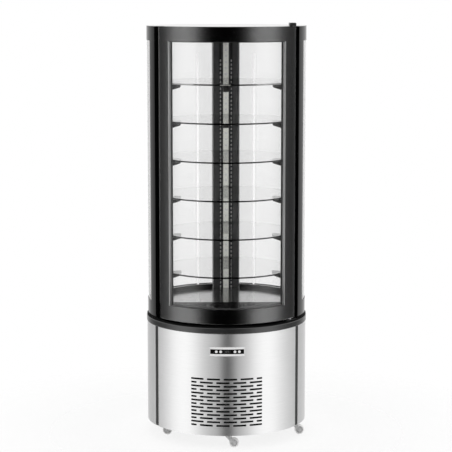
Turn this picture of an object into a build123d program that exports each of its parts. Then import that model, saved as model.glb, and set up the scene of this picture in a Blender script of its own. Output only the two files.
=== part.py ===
from build123d import *
from math import cos, degrees, radians, sin, sqrt
import os

# Round refrigerated cake display case on castors, in millimetres.
# The front is -Y, the floor is z = 0 and the case stands about the Z axis.
# Angles round the case are in degrees from the front, positive towards +X.

os.makedirs("parts", exist_ok=True)

# Driving dimensions of the case
trim_radius = 340.0
panel_set_in = 2.0
case_set_in = 5.0
base_clearance = 58.0
base_height = 427.0
trim_height = 30.0
door_foot_gap = 10.0
door_height = 1206.0
door_bottom_rail = 59.5
door_top_rail = 60.0
door_depth = 30.0
gasket_depth = 8.0
overrun = 5.0

# Clearances
running_gap = 0.05
seat_gap = 0.3
swing_gap = 1.0

# Places round the case
front_angle = -90.0
half_turn = 180.0
quarter_turn = 90.0
door_left_angle = -56.2
window_half_angle = 46.0
hinge_angle = 54.8
left_pillar_angles = (-71.1, -62.5)
right_pillar_angles = (62.5, 71.1)
pillar_lip_angle = 47.0
panel_half_angle = 58.1
rear_panel_angle = 62.1
rear_post_angle = 128.0

# Radii and levels
panel_radius = trim_radius - panel_set_in
case_radius = trim_radius - case_set_in
pan_level = base_clearance
trim_level = pan_level + base_height
trim_top = trim_level + trim_height
door_level = trim_top + door_foot_gap
door_top = door_level + door_height
window_level = door_level + door_bottom_rail
cap_level = door_top - door_top_rail
door_inner_radius = case_radius - door_depth
seal_radius = door_inner_radius - gasket_depth - seat_gap


def polar(radius, angle):
    """Point of the plan at a radius and an angle from the front."""
    return radius * sin(radians(angle)), -radius * cos(radians(angle))


def arc_angle(length, radius):
    """Angle in degrees that a length spans along a circle."""
    return degrees(length / radius)


def facing(angle, radius, level):
    """Upright plane that looks outwards, with its own X to the right and Y up."""
    x, y = polar(radius, angle)
    normal = (sin(radians(angle)), -cos(radians(angle)), 0)
    across = (cos(radians(angle)), sin(radians(angle)), 0)
    return Plane(origin=(x, y, level), x_dir=across, z_dir=normal)


def sector(inner, outer, start, end, mode=Mode.ADD):
    """Ring sector in the current sketch."""
    with BuildLine() as outline:
        outer_arc = CenterArc((0, 0), outer, front_angle + start, end - start)
        inner_arc = CenterArc((0, 0), inner, front_angle + start, end - start)
        Line(outer_arc @ 0, inner_arc @ 0)
        Line(outer_arc @ 1, inner_arc @ 1)
    make_face(outline.edges(), mode=mode)


def save(builder, name):
    """Label a finished piece and write it as a STEP file."""
    builder.part.label = name
    export_step(builder.part, f"parts/{name}.step")


# Base: pan, posts and steel panels
panel_sheet = 1.5
panel_hem = 12.0
pan_sheet = 2.0
pan_rim = 22.0
pan_slot_length = 90.0
pan_slot_width = 10.0
pan_slot_pitch = 22.0
pan_slot_count = 5
post_depth = 15.0
post_sheet = 2.0
post_recess = 1.0
rear_post_width = 24.0

panel_inner = panel_radius - panel_sheet
pan_radius = panel_inner - seat_gap
pan_floor = pan_level + pan_sheet
gap_angle = arc_angle(seat_gap, panel_radius)
rear_post_half = arc_angle(rear_post_width, panel_radius) / 2
post_spans = [
    (panel_half_angle + gap_angle, rear_panel_angle - gap_angle, panel_radius - post_recess),
    (gap_angle - rear_panel_angle, -panel_half_angle - gap_angle, panel_radius - post_recess),
    (rear_post_angle - rear_post_half, rear_post_angle + rear_post_half, pan_radius),
    (-rear_post_angle - rear_post_half, rear_post_half - rear_post_angle, pan_radius),
]

with BuildPart() as base_pan:
    with BuildSketch(Plane.XY.offset(pan_level)):
        Circle(pan_radius)
    extrude(amount=pan_sheet)
    with BuildSketch(Plane.XY.offset(pan_floor)):
        Circle(pan_radius)
        Circle(pan_radius - pan_sheet, mode=Mode.SUBTRACT)
        for start, end, outer in post_spans:
            sector(outer - post_depth, trim_radius, start - gap_angle, end + gap_angle, mode=Mode.SUBTRACT)
    extrude(amount=pan_rim)
    with BuildSketch(Plane.XY.offset(pan_level)):
        with GridLocations(0, pan_slot_pitch, 1, pan_slot_count):
            SlotOverall(pan_slot_length, pan_slot_width)
    extrude(amount=pan_sheet, mode=Mode.SUBTRACT)
save(base_pan, "base_pan")

with BuildPart() as base_posts:
    for start, end, outer in post_spans:
        wall_angle = arc_angle(post_sheet, outer)
        with BuildSketch(Plane.XY.offset(pan_floor)):
            sector(outer - post_depth, outer, start, end)
            sector(
                outer - post_depth - overrun,
                outer - post_sheet,
                start + wall_angle,
                end - wall_angle,
                mode=Mode.SUBTRACT,
            )
        extrude(amount=trim_level - pan_floor)
save(base_posts, "base_posts")

# Front panel: rows of vent slots, each row turned end for end against its neighbours
vent_rows = 14
vent_row_pitch = 15.0
vent_slot_height = 6.5
vent_slot_length = 55.0
vent_web = 14.5
vent_end_slot = 23.0
vent_full_slots = 4
vent_rise = 39.2
control_width = 143.0
control_height = 37.5
control_drop = 72.75
control_face_width = 139.0
control_face_height = 19.5
control_proud = 2.0

vent_level = pan_level + vent_rise
control_level = trim_level - control_drop
vent_row_length = vent_full_slots * (vent_slot_length + vent_web) + vent_end_slot
window_half = arc_angle(control_face_width, panel_radius) / 2


def slot_row(direction):
    """One row of vent slots in the current sketch, with its short slot on one side."""
    place = -vent_row_length / 2
    for number in range(vent_full_slots + 1):
        length = vent_slot_length if number < vent_full_slots else vent_end_slot
        start = direction * arc_angle(place, panel_radius)
        end = direction * arc_angle(place + length, panel_radius)
        sector(panel_inner - overrun, panel_radius + overrun, min(start, end), max(start, end))
        place += length + vent_web


with BuildPart() as front_panel:
    hem_angle = arc_angle(panel_sheet, panel_radius)
    with BuildSketch(Plane.XY.offset(pan_level)):
        sector(panel_inner, panel_radius, -panel_half_angle, panel_half_angle)
    extrude(amount=base_height)
    with BuildSketch(Plane.XY.offset(pan_floor + pan_rim)):
        for side in (-1, 1):
            edge = side * panel_half_angle
            hem_edge = edge - side * hem_angle
            sector(panel_inner - panel_hem, panel_inner, min(edge, hem_edge), max(edge, hem_edge))
    extrude(amount=base_height - pan_sheet - pan_rim)
    with BuildSketch(Plane.XY.offset(trim_level - panel_sheet)):
        sector(panel_inner - panel_hem, panel_inner, -panel_half_angle, panel_half_angle)
    extrude(amount=panel_sheet)
    for row in range(vent_rows):
        with BuildSketch(Plane.XY.offset(vent_level + row * vent_row_pitch)):
            slot_row(1 if row % 2 else -1)
        extrude(amount=vent_slot_height, mode=Mode.SUBTRACT)
    with BuildSketch(Plane.XY.offset(control_level - control_face_height / 2)):
        sector(panel_inner - overrun, panel_radius + overrun, -window_half, window_half)
    extrude(amount=control_face_height, mode=Mode.SUBTRACT)
save(front_panel, "front_panel")

# Rear panel: wraps round the back from seam to seam, with outlet slots and the inlet's cut-out
rear_vent_rows = 8
rear_vent_columns = 4
rear_vent_pitch = 20.0
rear_vent_rise = 122.0
inlet_angle = 152.0
inlet_rise = 62.0
inlet_width = 47.0
inlet_height = 27.0
inlet_flange = 3.0
inlet_proud = 1.6
inlet_depth = 28.0

rear_vent_level = pan_level + rear_vent_rise
inlet_level = pan_level + inlet_rise

with BuildPart() as rear_panel:
    with BuildSketch(Plane.XY.offset(pan_level)):
        sector(panel_inner, panel_radius, rear_panel_angle, 2 * half_turn - rear_panel_angle)
    extrude(amount=base_height)
    column_angle = arc_angle(vent_slot_length + vent_web, panel_radius)
    slot_angle = arc_angle(vent_slot_length, panel_radius)
    for row in range(rear_vent_rows):
        with BuildSketch(Plane.XY.offset(rear_vent_level + row * rear_vent_pitch)):
            for column in range(rear_vent_columns):
                middle = half_turn + (column - (rear_vent_columns - 1) / 2) * column_angle
                sector(
                    panel_inner - overrun,
                    panel_radius + overrun,
                    middle - slot_angle / 2,
                    middle + slot_angle / 2,
                )
        extrude(amount=vent_slot_height, mode=Mode.SUBTRACT)
    with BuildSketch(facing(inlet_angle, panel_radius, inlet_level)):
        Rectangle(inlet_width + 2 * seat_gap, inlet_height + 2 * seat_gap)
    extrude(amount=overrun, both=True, mode=Mode.SUBTRACT)
save(rear_panel, "rear_panel")

with BuildPart() as mains_inlet:
    inlet_seat = panel_radius + seat_gap / 2
    socket_wall = 3.0
    with BuildSketch(facing(inlet_angle, inlet_seat, inlet_level)):
        RectangleRounded(inlet_width + 2 * inlet_flange, inlet_height + 2 * inlet_flange, inlet_flange)
    extrude(amount=inlet_proud)
    with BuildSketch(facing(inlet_angle, inlet_seat, inlet_level)):
        Rectangle(inlet_width, inlet_height)
    extrude(amount=-inlet_depth)
    with BuildSketch(facing(inlet_angle, inlet_seat + inlet_proud, inlet_level)):
        RectangleRounded(inlet_width - 2 * socket_wall, inlet_height - 2 * socket_wall, socket_wall)
    extrude(amount=-(inlet_depth - socket_wall), mode=Mode.SUBTRACT)
save(mains_inlet, "mains_inlet")

with BuildPart() as rear_panel_screws:
    screw_head_radius = 4.5
    screw_head_height = 1.6
    screw_rows = 3
    screw_margin = 40.0
    screw_pitch = (base_height - 2 * screw_margin) / (screw_rows - 1)
    for angle in (rear_post_angle, -rear_post_angle):
        for row in range(screw_rows):
            level = pan_level + screw_margin + row * screw_pitch
            with BuildSketch(facing(angle, panel_radius, level)):
                Circle(screw_head_radius)
            extrude(amount=screw_head_height)
save(rear_panel_screws, "rear_panel_screws")

# Trim ring: a folded steel channel between the base and the case, open to the inside
trim_sheet = 1.5
trim_nose = 3.0
trim_foot_width = 22.0
trim_shelf_width = 38.0

with BuildPart() as trim_ring:
    with BuildSketch(Plane.XZ) as trim_profile:
        with Locations((trim_radius - trim_shelf_width / 2, trim_level + trim_height / 2)):
            Rectangle(trim_shelf_width, trim_height)
        fillet(trim_profile.vertices().sort_by(Axis.X)[-2:], trim_nose)
        with Locations((trim_radius - trim_sheet - trim_shelf_width / 2, trim_level + trim_height / 2)):
            Rectangle(trim_shelf_width, trim_height - 2 * trim_sheet, mode=Mode.SUBTRACT)
        with Locations((trim_radius - trim_foot_width - trim_shelf_width / 2, trim_level + trim_sheet / 2)):
            Rectangle(trim_shelf_width, trim_sheet, mode=Mode.SUBTRACT)
    revolve(axis=Axis.Z)
save(trim_ring, "trim_ring")

# Deck: an insulated tub for the evaporator, hung in the trim ring, with a bright plate on top
tub_wall = 20.0
tub_depth = 116.0
tub_flange = 6.0
deck_sheet = 2.0
deck_foot = 48.0
sill_rise = 15.0
sill_reach = 166.7
sill_sheet = 2.0
pipe_radius = 5.0
pipe_hole_gap = 1.0
pipe_side = 60.0
pipe_set_in = 101.7
pipe_pitch = 40.0

tub_top = trim_top + deck_foot
tub_floor = tub_top - tub_depth
tub_radius = seal_radius
sill_line = sill_reach - tub_radius
pipe_place = (pipe_side, tub_radius - pipe_set_in)
deck_top = tub_top + deck_sheet
sill_top = deck_top + sill_rise

with BuildPart() as deck_tub:
    with BuildSketch(Plane.XY.offset(tub_floor)):
        Circle(tub_radius)
    extrude(amount=tub_depth)
    with BuildSketch(Plane.XY.offset(trim_level + trim_sheet)):
        Circle(trim_radius - trim_sheet - seat_gap)
    extrude(amount=tub_flange)
    with BuildSketch(Plane.XY.offset(tub_floor + tub_wall)):
        Circle(tub_radius - tub_wall)
    extrude(amount=tub_depth, mode=Mode.SUBTRACT)
    with BuildSketch(Plane.XY.offset(tub_floor)):
        with Locations(pipe_place):
            with GridLocations(pipe_pitch, 0, 2, 1):
                Circle(pipe_radius + pipe_hole_gap)
    extrude(amount=tub_wall, mode=Mode.SUBTRACT)
save(deck_tub, "deck_tub")

with BuildPart() as deck_plate:
    plate_depth = tub_radius - sill_line - seat_gap
    with BuildSketch(Plane.XY.offset(tub_top)):
        Circle(tub_radius)
        with Locations((0, sill_line + seat_gap + plate_depth / 2)):
            Rectangle(2 * tub_radius, plate_depth, mode=Mode.INTERSECT)
    extrude(amount=deck_sheet)
save(deck_plate, "deck_plate")

# Air return sill: a black cover over the front of the tub, slotted along the door
sill_slot_rows = 3
sill_slot_columns = 4
sill_slot_pitch = 78.0
sill_slot_length = 66.0
sill_slot_width = 5.0
sill_row_pitch = 18.0
sill_row_place = 62.0

with BuildPart() as front_air_sill:
    sill_depth = tub_radius + sill_line
    sill_middle = sill_line - sill_depth / 2
    sill_height = sill_top - tub_top
    with BuildSketch(Plane.XY.offset(tub_top)):
        Circle(tub_radius)
        with Locations((0, sill_middle)):
            Rectangle(2 * tub_radius, sill_depth, mode=Mode.INTERSECT)
    extrude(amount=sill_height)
    with BuildSketch(Plane.XY.offset(tub_top)):
        Circle(tub_radius - sill_sheet)
        with Locations((0, sill_middle - sill_sheet)):
            Rectangle(2 * tub_radius, sill_depth, mode=Mode.INTERSECT)
    extrude(amount=sill_height - sill_sheet, mode=Mode.SUBTRACT)
    with BuildSketch(Plane.XY.offset(sill_top)):
        with Locations((0, sill_line - sill_row_place)):
            with GridLocations(sill_slot_pitch, sill_row_pitch, sill_slot_columns, sill_slot_rows):
                Rectangle(sill_slot_length, sill_slot_width)
    extrude(amount=-sill_sheet, mode=Mode.SUBTRACT)
save(front_air_sill, "front_air_sill")

# Rear column: a folded duct that carries the shelf uprights and the light
column_width = 111.0
column_sheet = 2.0
upright_place = 24.0
upright_width = 10.0
upright_sheet = 3.0
upright_margin = 30.0
upright_slot_width = 4.0
upright_slot_height = 11.0
light_width = 28.0
light_depth = 5.0

column_front = seal_radius + seat_gap
column_height = cap_level - trim_top

with BuildPart() as rear_column:
    with BuildSketch(Plane.XY.offset(trim_top)):
        Circle(case_radius)
        with Locations((0, column_front + case_radius / 2)):
            Rectangle(column_width, case_radius, mode=Mode.INTERSECT)
        Circle(case_radius - column_sheet, mode=Mode.SUBTRACT)
        with Locations((0, column_front + column_sheet / 2)):
            Rectangle(column_width, column_sheet)
        for side in (-1, 1):
            x = side * (column_width - column_sheet) / 2
            back = sqrt(case_radius**2 - (column_width / 2) ** 2) - column_sheet / 2
            with Locations((x, (column_front + back) / 2)):
                Rectangle(column_sheet, back - column_front)
    extrude(amount=column_height)
save(rear_column, "rear_column")

# Shelves and what carries them
shelf_count = 6
shelf_margin = 10.0
shelf_glass = 6.0
shelf_deck_gap = 144.0
shelf_cap_gap = 172.0
shelf_edge = 1.0
slots_per_step = 8
side_bracket_angle = 66.0
bracket_reach = 63.0
rear_bracket_reach = 50.0
bracket_thickness = 6.0
bracket_root = 20.0
bracket_tip = 12.0
rear_bracket_width = 26.0
rear_bracket_root = 18.0
rear_bracket_tip = 9.0
hook_bar = 6.0
hook_height = 8.0
hook_width = 3.0
pillar_lip = 12.7

shelf_radius = seal_radius - pillar_lip - shelf_margin
shelf_first = deck_top + shelf_deck_gap
shelf_step = (cap_level - shelf_cap_gap - shelf_first) / (shelf_count - 1)
slot_pitch = shelf_step / slots_per_step
shelf_levels = [shelf_first + number * shelf_step for number in range(shelf_count)]
bracket_levels = [level - shelf_glass for level in shelf_levels]
upright_bottom = deck_top + upright_margin
upright_top = cap_level - upright_margin
light_face = column_front - light_depth
hook_level = rear_bracket_root / 2

with BuildPart() as shelf_uprights:
    for side in (-1, 1):
        with BuildSketch(Plane.XY.offset(upright_bottom)):
            with Locations((side * upright_place, column_front - upright_sheet / 2)):
                Rectangle(upright_width, upright_sheet)
        extrude(amount=upright_top - upright_bottom)
    slots_below = int((bracket_levels[0] - hook_level - upright_bottom) / slot_pitch)
    slots_above = int((upright_top - bracket_levels[0]) / slot_pitch)
    first_slot = bracket_levels[0] - hook_level - slots_below * slot_pitch
    slot_count = slots_below + slots_above
    slot_middle = first_slot + (slot_count - 1) * slot_pitch / 2
    with BuildSketch(facing(0, -column_front, slot_middle)):
        with GridLocations(2 * upright_place, slot_pitch, 2, slot_count):
            Rectangle(upright_slot_width, upright_slot_height)
    extrude(amount=upright_sheet, mode=Mode.SUBTRACT)
save(shelf_uprights, "shelf_uprights")

with BuildPart() as light_strip:
    with BuildSketch(Plane.XY.offset(upright_bottom)):
        with Locations((0, column_front - light_depth / 2)):
            Rectangle(light_width, light_depth)
    extrude(amount=upright_top - upright_bottom)
    fillet(light_strip.edges().filter_by(Axis.Z).sort_by(Axis.Y)[:2], light_depth / 2)
save(light_strip, "light_strip")

with BuildPart() as shelf_brackets:
    pillar_inner = seal_radius - pillar_lip
    side_root = pillar_inner - seat_gap
    side_tip = shelf_radius - bracket_reach
    rear_tip = shelf_radius - rear_bracket_reach
    for top in bracket_levels:
        for angle in (side_bracket_angle, -side_bracket_angle):
            turn = front_angle + angle
            upright = Plane(
                origin=(0, 0, top),
                x_dir=(cos(radians(turn)), sin(radians(turn)), 0),
                z_dir=(sin(radians(turn)), -cos(radians(turn)), 0),
            )
            with BuildSketch(upright):
                with BuildLine():
                    Polyline(
                        (side_tip, 0),
                        (side_root, 0),
                        (side_root, -bracket_root),
                        (side_tip, -bracket_tip),
                        close=True,
                    )
                make_face()
            extrude(amount=bracket_thickness / 2, both=True)
        with BuildSketch(Plane.YZ):
            with BuildLine():
                Polyline(
                    (rear_tip, top),
                    (light_face, top),
                    (light_face, top - rear_bracket_root),
                    (rear_tip, top - rear_bracket_tip),
                    close=True,
                )
            make_face()
        extrude(amount=rear_bracket_width / 2, both=True)
        with BuildSketch(facing(0, -light_face, top - hook_level)):
            Rectangle(2 * upright_place + upright_width, hook_bar)
        extrude(amount=hook_bar)
        with BuildSketch(facing(0, -light_face, top - hook_level)):
            with GridLocations(2 * upright_place, 0, 2, 1):
                Rectangle(hook_width, hook_height)
        extrude(amount=-(light_depth - seat_gap))
save(shelf_brackets, "shelf_brackets")

for number, level in enumerate(shelf_levels, start=1):
    with BuildPart() as shelf:
        with BuildSketch(Plane.XY.offset(level - shelf_glass)):
            Circle(shelf_radius)
        extrude(amount=shelf_glass)
        chamfer(shelf.edges(), shelf_edge)
    save(shelf, f"shelf_{number}")

# Lower rails: black curved sills under the side glass, with the channel for it
rail_height = 68.0
rail_sheet = 2.0
channel_depth = 8.0
channel_land = 8.0
glass_sheet = 4.0
unit_thickness = 23.7

rail_top = trim_top + rail_height
rail_inner = seal_radius + seat_gap
unit_outer = case_radius - rail_sheet - seat_gap
unit_inner = unit_outer - unit_thickness
column_cut = column_width + 2 * seat_gap
rail_gap_angle = arc_angle(seat_gap, case_radius)
side_spans = {
    "right": (right_pillar_angles[1] + rail_gap_angle, half_turn),
    "left": (-half_turn, left_pillar_angles[0] - rail_gap_angle),
}


def cut_for_column():
    """Take the column's room out of the current sketch."""
    with Locations((0, case_radius)):
        Rectangle(column_cut, case_radius, mode=Mode.SUBTRACT)


with BuildPart() as lower_rails:
    for start, end in side_spans.values():
        with BuildSketch(Plane.XY.offset(trim_top)):
            sector(rail_inner, case_radius, start, end)
            cut_for_column()
        extrude(amount=rail_height)
    with BuildSketch(Plane.XY.offset(rail_top - channel_depth)):
        Circle(unit_outer + seat_gap)
        Circle(unit_inner - seat_gap, mode=Mode.SUBTRACT)
    extrude(amount=rail_height, mode=Mode.SUBTRACT)
    with BuildSketch(Plane.XY.offset(trim_top)):
        Circle(case_radius - rail_sheet)
        Circle(rail_inner + rail_sheet, mode=Mode.SUBTRACT)
    extrude(amount=rail_height - channel_depth - channel_land, mode=Mode.SUBTRACT)
save(lower_rails, "lower_rails")

# Side glass: two curved sheets a side, held apart by a bright spacer at their ends
spacer_width = 19.0
spacer_bar = 3.0
unit_bottom = rail_top - channel_depth
unit_top = cap_level + channel_depth - seat_gap

for side, (start, end) in side_spans.items():
    with BuildPart() as side_glass:
        with BuildSketch(Plane.XY.offset(unit_bottom)):
            sector(unit_inner, unit_inner + glass_sheet, start, end)
            sector(unit_outer - glass_sheet, unit_outer, start, end)
            cut_for_column()
        extrude(amount=unit_top - unit_bottom)
    save(side_glass, f"side_glass_{side}")

with BuildPart() as glass_spacers:
    spacer_inner = unit_inner + glass_sheet
    spacer_outer = unit_outer - glass_sheet
    spacer_angle = arc_angle(spacer_width, unit_outer)
    column_spacer = column_width + 2 * spacer_bar
    for start, end in side_spans.values():
        front_start = start if start > 0 else end - spacer_angle
        with BuildSketch(Plane.XY.offset(unit_bottom)):
            sector(spacer_inner, spacer_outer, start, end)
            cut_for_column()
        extrude(amount=unit_top - unit_bottom)
        with BuildSketch(Plane.XY.offset(unit_bottom + spacer_bar)):
            sector(spacer_inner, spacer_outer, start, end)
            sector(spacer_inner, spacer_outer, front_start, front_start + spacer_angle, mode=Mode.SUBTRACT)
            with Locations((0, case_radius)):
                Rectangle(column_spacer, case_radius, mode=Mode.SUBTRACT)
        extrude(amount=unit_top - unit_bottom - 2 * spacer_bar, mode=Mode.SUBTRACT)
save(glass_spacers, "glass_spacers")

# Pillars: hollow black uprights with a lip that the door's seal closes on
pillar_sheet = 2.0
pillar_lip_sides = {
    "right": (right_pillar_angles, 1),
    "left": (left_pillar_angles, -1),
}

for side, ((start, end), sign) in pillar_lip_sides.items():
    with BuildPart() as pillar:
        wall_angle = arc_angle(pillar_sheet, case_radius)
        lip_start = min(sign * pillar_lip_angle, start)
        lip_end = max(sign * pillar_lip_angle, end)
        with BuildSketch(Plane.XY.offset(trim_top)):
            sector(rail_inner, case_radius, start, end)
        extrude(amount=cap_level - trim_top)
        with BuildSketch(Plane.XY.offset(sill_top)):
            sector(pillar_inner, seal_radius, lip_start, lip_end)
            sector(seal_radius, rail_inner, start, end)
        extrude(amount=cap_level - sill_top)
        with BuildSketch(Plane.XY.offset(trim_top)):
            sector(
                rail_inner + pillar_sheet,
                case_radius - pillar_sheet,
                start + wall_angle,
                end - wall_angle,
            )
        extrude(amount=cap_level - trim_top, mode=Mode.SUBTRACT)
    save(pillar, f"pillar_{side}")

# Top cap: an insulated slab in a black band, cut back at the front for the door
cap_slab = 25.0
cap_wall = 6.0
cap_rim = 3.0
cap_rim_height = 4.0
cover_sheet = 2.0
recess_angles = (left_pillar_angles[1], right_pillar_angles[0])
cap_height = door_top - cap_level


def cap_outline(inset):
    """Plan of the cap, drawn in by an inset, in the current sketch."""
    side = arc_angle(inset, case_radius)
    Circle(case_radius - inset)
    sector(
        seal_radius - inset,
        case_radius + overrun,
        recess_angles[0] - side,
        recess_angles[1] + side,
        mode=Mode.SUBTRACT,
    )


with BuildPart() as top_cap:
    with BuildSketch(Plane.XY.offset(cap_level)):
        cap_outline(0)
    extrude(amount=cap_height)
    with BuildSketch(Plane.XY.offset(cap_level + cap_slab)):
        cap_outline(cap_wall)
    extrude(amount=cap_height, mode=Mode.SUBTRACT)
    with BuildSketch(Plane.XY.offset(door_top - cap_rim_height)):
        cap_outline(cap_rim)
    extrude(amount=cap_rim_height, mode=Mode.SUBTRACT)
    for start, end in side_spans.values():
        with BuildSketch(Plane.XY.offset(cap_level)):
            sector(unit_inner - seat_gap, unit_outer + seat_gap, start, end)
            cut_for_column()
        extrude(amount=channel_depth, mode=Mode.SUBTRACT)
save(top_cap, "top_cap")

with BuildPart() as top_cover:
    with BuildSketch(Plane.XY.offset(door_top - cap_rim_height)):
        cap_outline(cap_rim + seat_gap)
    extrude(amount=cover_sheet)
save(top_cover, "top_cover")

# Door hinges
hinge_inset = 15.0
hinge_pin_radius = 5.0
hinge_nose = 20.0
hinge_block_width = 27.0
hinge_block_height = 13.0
hinge_block_front = 16.0
hinge_block_back = 84.0
hinge_block_shift = 7.3
hinge_block_round = 3.0
hinge_plate = 6.0
hinge_plate_margin = 2.0
hinge_plate_half = 5.5
hinge_collar_radius = 9.0
hinge_pin_reach = 12.0
hinge_bore_depth = 15.0

hinge_radius = case_radius - hinge_inset
hinge_x, hinge_y = polar(hinge_radius, hinge_angle)

with BuildPart() as upper_hinge:
    block_length = hinge_block_front + hinge_block_back
    block_y = hinge_y + (hinge_block_back - hinge_block_front) / 2
    with BuildSketch(Plane.XY.offset(door_top)):
        with Locations((hinge_x + hinge_block_shift, block_y)):
            RectangleRounded(hinge_block_width, block_length, hinge_block_round)
    extrude(amount=hinge_block_height)
    with BuildSketch(Plane.XY.offset(door_top)):
        sector(seal_radius, trim_radius, *recess_angles)
    extrude(amount=swing_gap, mode=Mode.SUBTRACT)
    with BuildSketch(Plane.XY.offset(door_top - hinge_pin_reach)):
        with Locations((hinge_x, hinge_y)):
            Circle(hinge_pin_radius)
    extrude(amount=hinge_pin_reach + hinge_block_height)
save(upper_hinge, "upper_hinge")

with BuildPart() as lower_hinge:
    with BuildSketch(Plane.XY.offset(trim_top)):
        sector(
            door_inner_radius + hinge_plate_margin,
            case_radius - hinge_plate_margin,
            hinge_angle - hinge_plate_half,
            hinge_angle + hinge_plate_half,
        )
    extrude(amount=hinge_plate)
    with BuildSketch(Plane.XY.offset(trim_top)):
        with Locations((hinge_x, hinge_y)):
            Circle(hinge_collar_radius)
    extrude(amount=door_foot_gap - seat_gap)
    with BuildSketch(Plane.XY.offset(trim_top)):
        with Locations((hinge_x, hinge_y)):
            Circle(hinge_pin_radius)
    extrude(amount=door_foot_gap + hinge_pin_reach)
save(lower_hinge, "lower_hinge")

# Door: a frame of curved channels behind a full curved glass, with a second glass inside
frame_wall = 3.0
stile_cavity_angles = (47.5, 52.5)
rail_cavity_half_angle = 45.0
pull_angle = 2.8
pull_inset = 6.0
pull_width = 13.0
inner_glass_inset = 2.0
spacer_line = 4.5
gasket_half_angle = 52.0
gasket_width = 12.0

frame_outer = case_radius - glass_sheet
window_height = cap_level - window_level
nose_half_angle = arc_angle(hinge_nose, hinge_radius)


def door_outline(inner, outer):
    """Plan of the door between two radii, its hinge end rounded about the pin."""
    with Locations((hinge_x, hinge_y)):
        Circle(hinge_nose)
    sector(inner, outer, hinge_angle, hinge_angle + nose_half_angle, mode=Mode.INTERSECT)
    sector(inner, outer, door_left_angle, hinge_angle)


with BuildPart() as door_frame:
    with BuildSketch(Plane.XY.offset(door_level)):
        door_outline(door_inner_radius, frame_outer)
    extrude(amount=door_height)
    with BuildSketch(Plane.XY.offset(window_level)):
        sector(
            door_inner_radius - overrun,
            case_radius + overrun,
            -window_half_angle,
            window_half_angle,
        )
    extrude(amount=window_height, mode=Mode.SUBTRACT)
    with BuildSketch(Plane.XY.offset(window_level)):
        for side in (-1, 1):
            edges = sorted(side * angle for angle in stile_cavity_angles)
            sector(door_inner_radius + frame_wall, case_radius, *edges)
    extrude(amount=window_height, mode=Mode.SUBTRACT)
    for level, height in ((door_level, door_bottom_rail), (cap_level, door_top_rail)):
        with BuildSketch(Plane.XY.offset(level + frame_wall)):
            sector(
                door_inner_radius + frame_wall,
                case_radius,
                -rail_cavity_half_angle,
                rail_cavity_half_angle,
            )
        extrude(amount=height - 2 * frame_wall, mode=Mode.SUBTRACT)
    with BuildSketch(Plane.XY.offset(door_level)):
        sector(
            door_inner_radius + pull_inset,
            door_inner_radius + pull_inset + pull_width,
            door_left_angle - pull_angle,
            door_left_angle + pull_angle,
        )
    extrude(amount=door_height, mode=Mode.SUBTRACT)
    for level, depth in ((door_level, hinge_bore_depth), (door_top, -hinge_bore_depth)):
        with BuildSketch(Plane.XY.offset(level)):
            with Locations((hinge_x, hinge_y)):
                Circle(hinge_pin_radius + running_gap)
        extrude(amount=depth, mode=Mode.SUBTRACT)
save(door_frame, "door_frame")

with BuildPart() as door_outer_glass:
    with BuildSketch(Plane.XY.offset(door_level)):
        door_outline(frame_outer, case_radius)
    extrude(amount=door_height)
save(door_outer_glass, "door_outer_glass")

with BuildPart() as door_inner_glass:
    inner_glass_radius = door_inner_radius + inner_glass_inset
    with BuildSketch(Plane.XY.offset(window_level)):
        sector(
            inner_glass_radius,
            inner_glass_radius + glass_sheet,
            -window_half_angle,
            window_half_angle,
        )
    extrude(amount=window_height)
save(door_inner_glass, "door_inner_glass")

with BuildPart() as door_spacer:
    spacer_half = window_half_angle - arc_angle(spacer_line, case_radius)
    with BuildSketch(Plane.XY.offset(window_level)):
        sector(inner_glass_radius + glass_sheet, frame_outer, -window_half_angle, window_half_angle)
    extrude(amount=window_height)
    with BuildSketch(Plane.XY.offset(window_level + frame_wall)):
        sector(inner_glass_radius, case_radius, -spacer_half, spacer_half)
    extrude(amount=window_height - 2 * frame_wall, mode=Mode.SUBTRACT)
save(door_spacer, "door_spacer")

with BuildPart() as door_gasket:
    gasket_angle = arc_angle(gasket_width * 2, case_radius)
    with BuildSketch(Plane.XY.offset(door_level + gasket_width)):
        sector(seal_radius + seat_gap, door_inner_radius, -gasket_half_angle, gasket_half_angle)
    extrude(amount=door_height - 2 * gasket_width)
    with BuildSketch(Plane.XY.offset(door_level + 2 * gasket_width)):
        sector(
            seal_radius,
            door_inner_radius + overrun,
            gasket_angle - gasket_half_angle,
            gasket_half_angle - gasket_angle,
        )
    extrude(amount=door_height - 4 * gasket_width, mode=Mode.SUBTRACT)
save(door_gasket, "door_gasket")

# Controller: a curved bezel on the panel, a black face and four sprung buttons
face_proud = 1.4
face_depth = 4.0
housing_depth = 45.0
housing_side = 3.0
button_radius = 5.5
button_places = (-44.5, -26.5, 32.0, 50.0)
button_proud = 1.5
button_edge = 0.5
button_length = 8.0
button_well = 10.0

face_radius = panel_radius + face_proud
face_height = control_face_height - 2 * seat_gap
face_half = window_half - arc_angle(seat_gap, panel_radius)
control_half = arc_angle(control_width, panel_radius) / 2

with BuildPart() as controller_bezel:
    with BuildSketch(Plane.XY.offset(control_level - control_height / 2)):
        sector(panel_radius, panel_radius + control_proud, -control_half, control_half)
    extrude(amount=control_height)
    with BuildSketch(Plane.XY.offset(control_level - control_face_height / 2)):
        sector(panel_inner, panel_radius + control_proud + overrun, -window_half, window_half)
    extrude(amount=control_face_height, mode=Mode.SUBTRACT)
save(controller_bezel, "controller_bezel")

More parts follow.
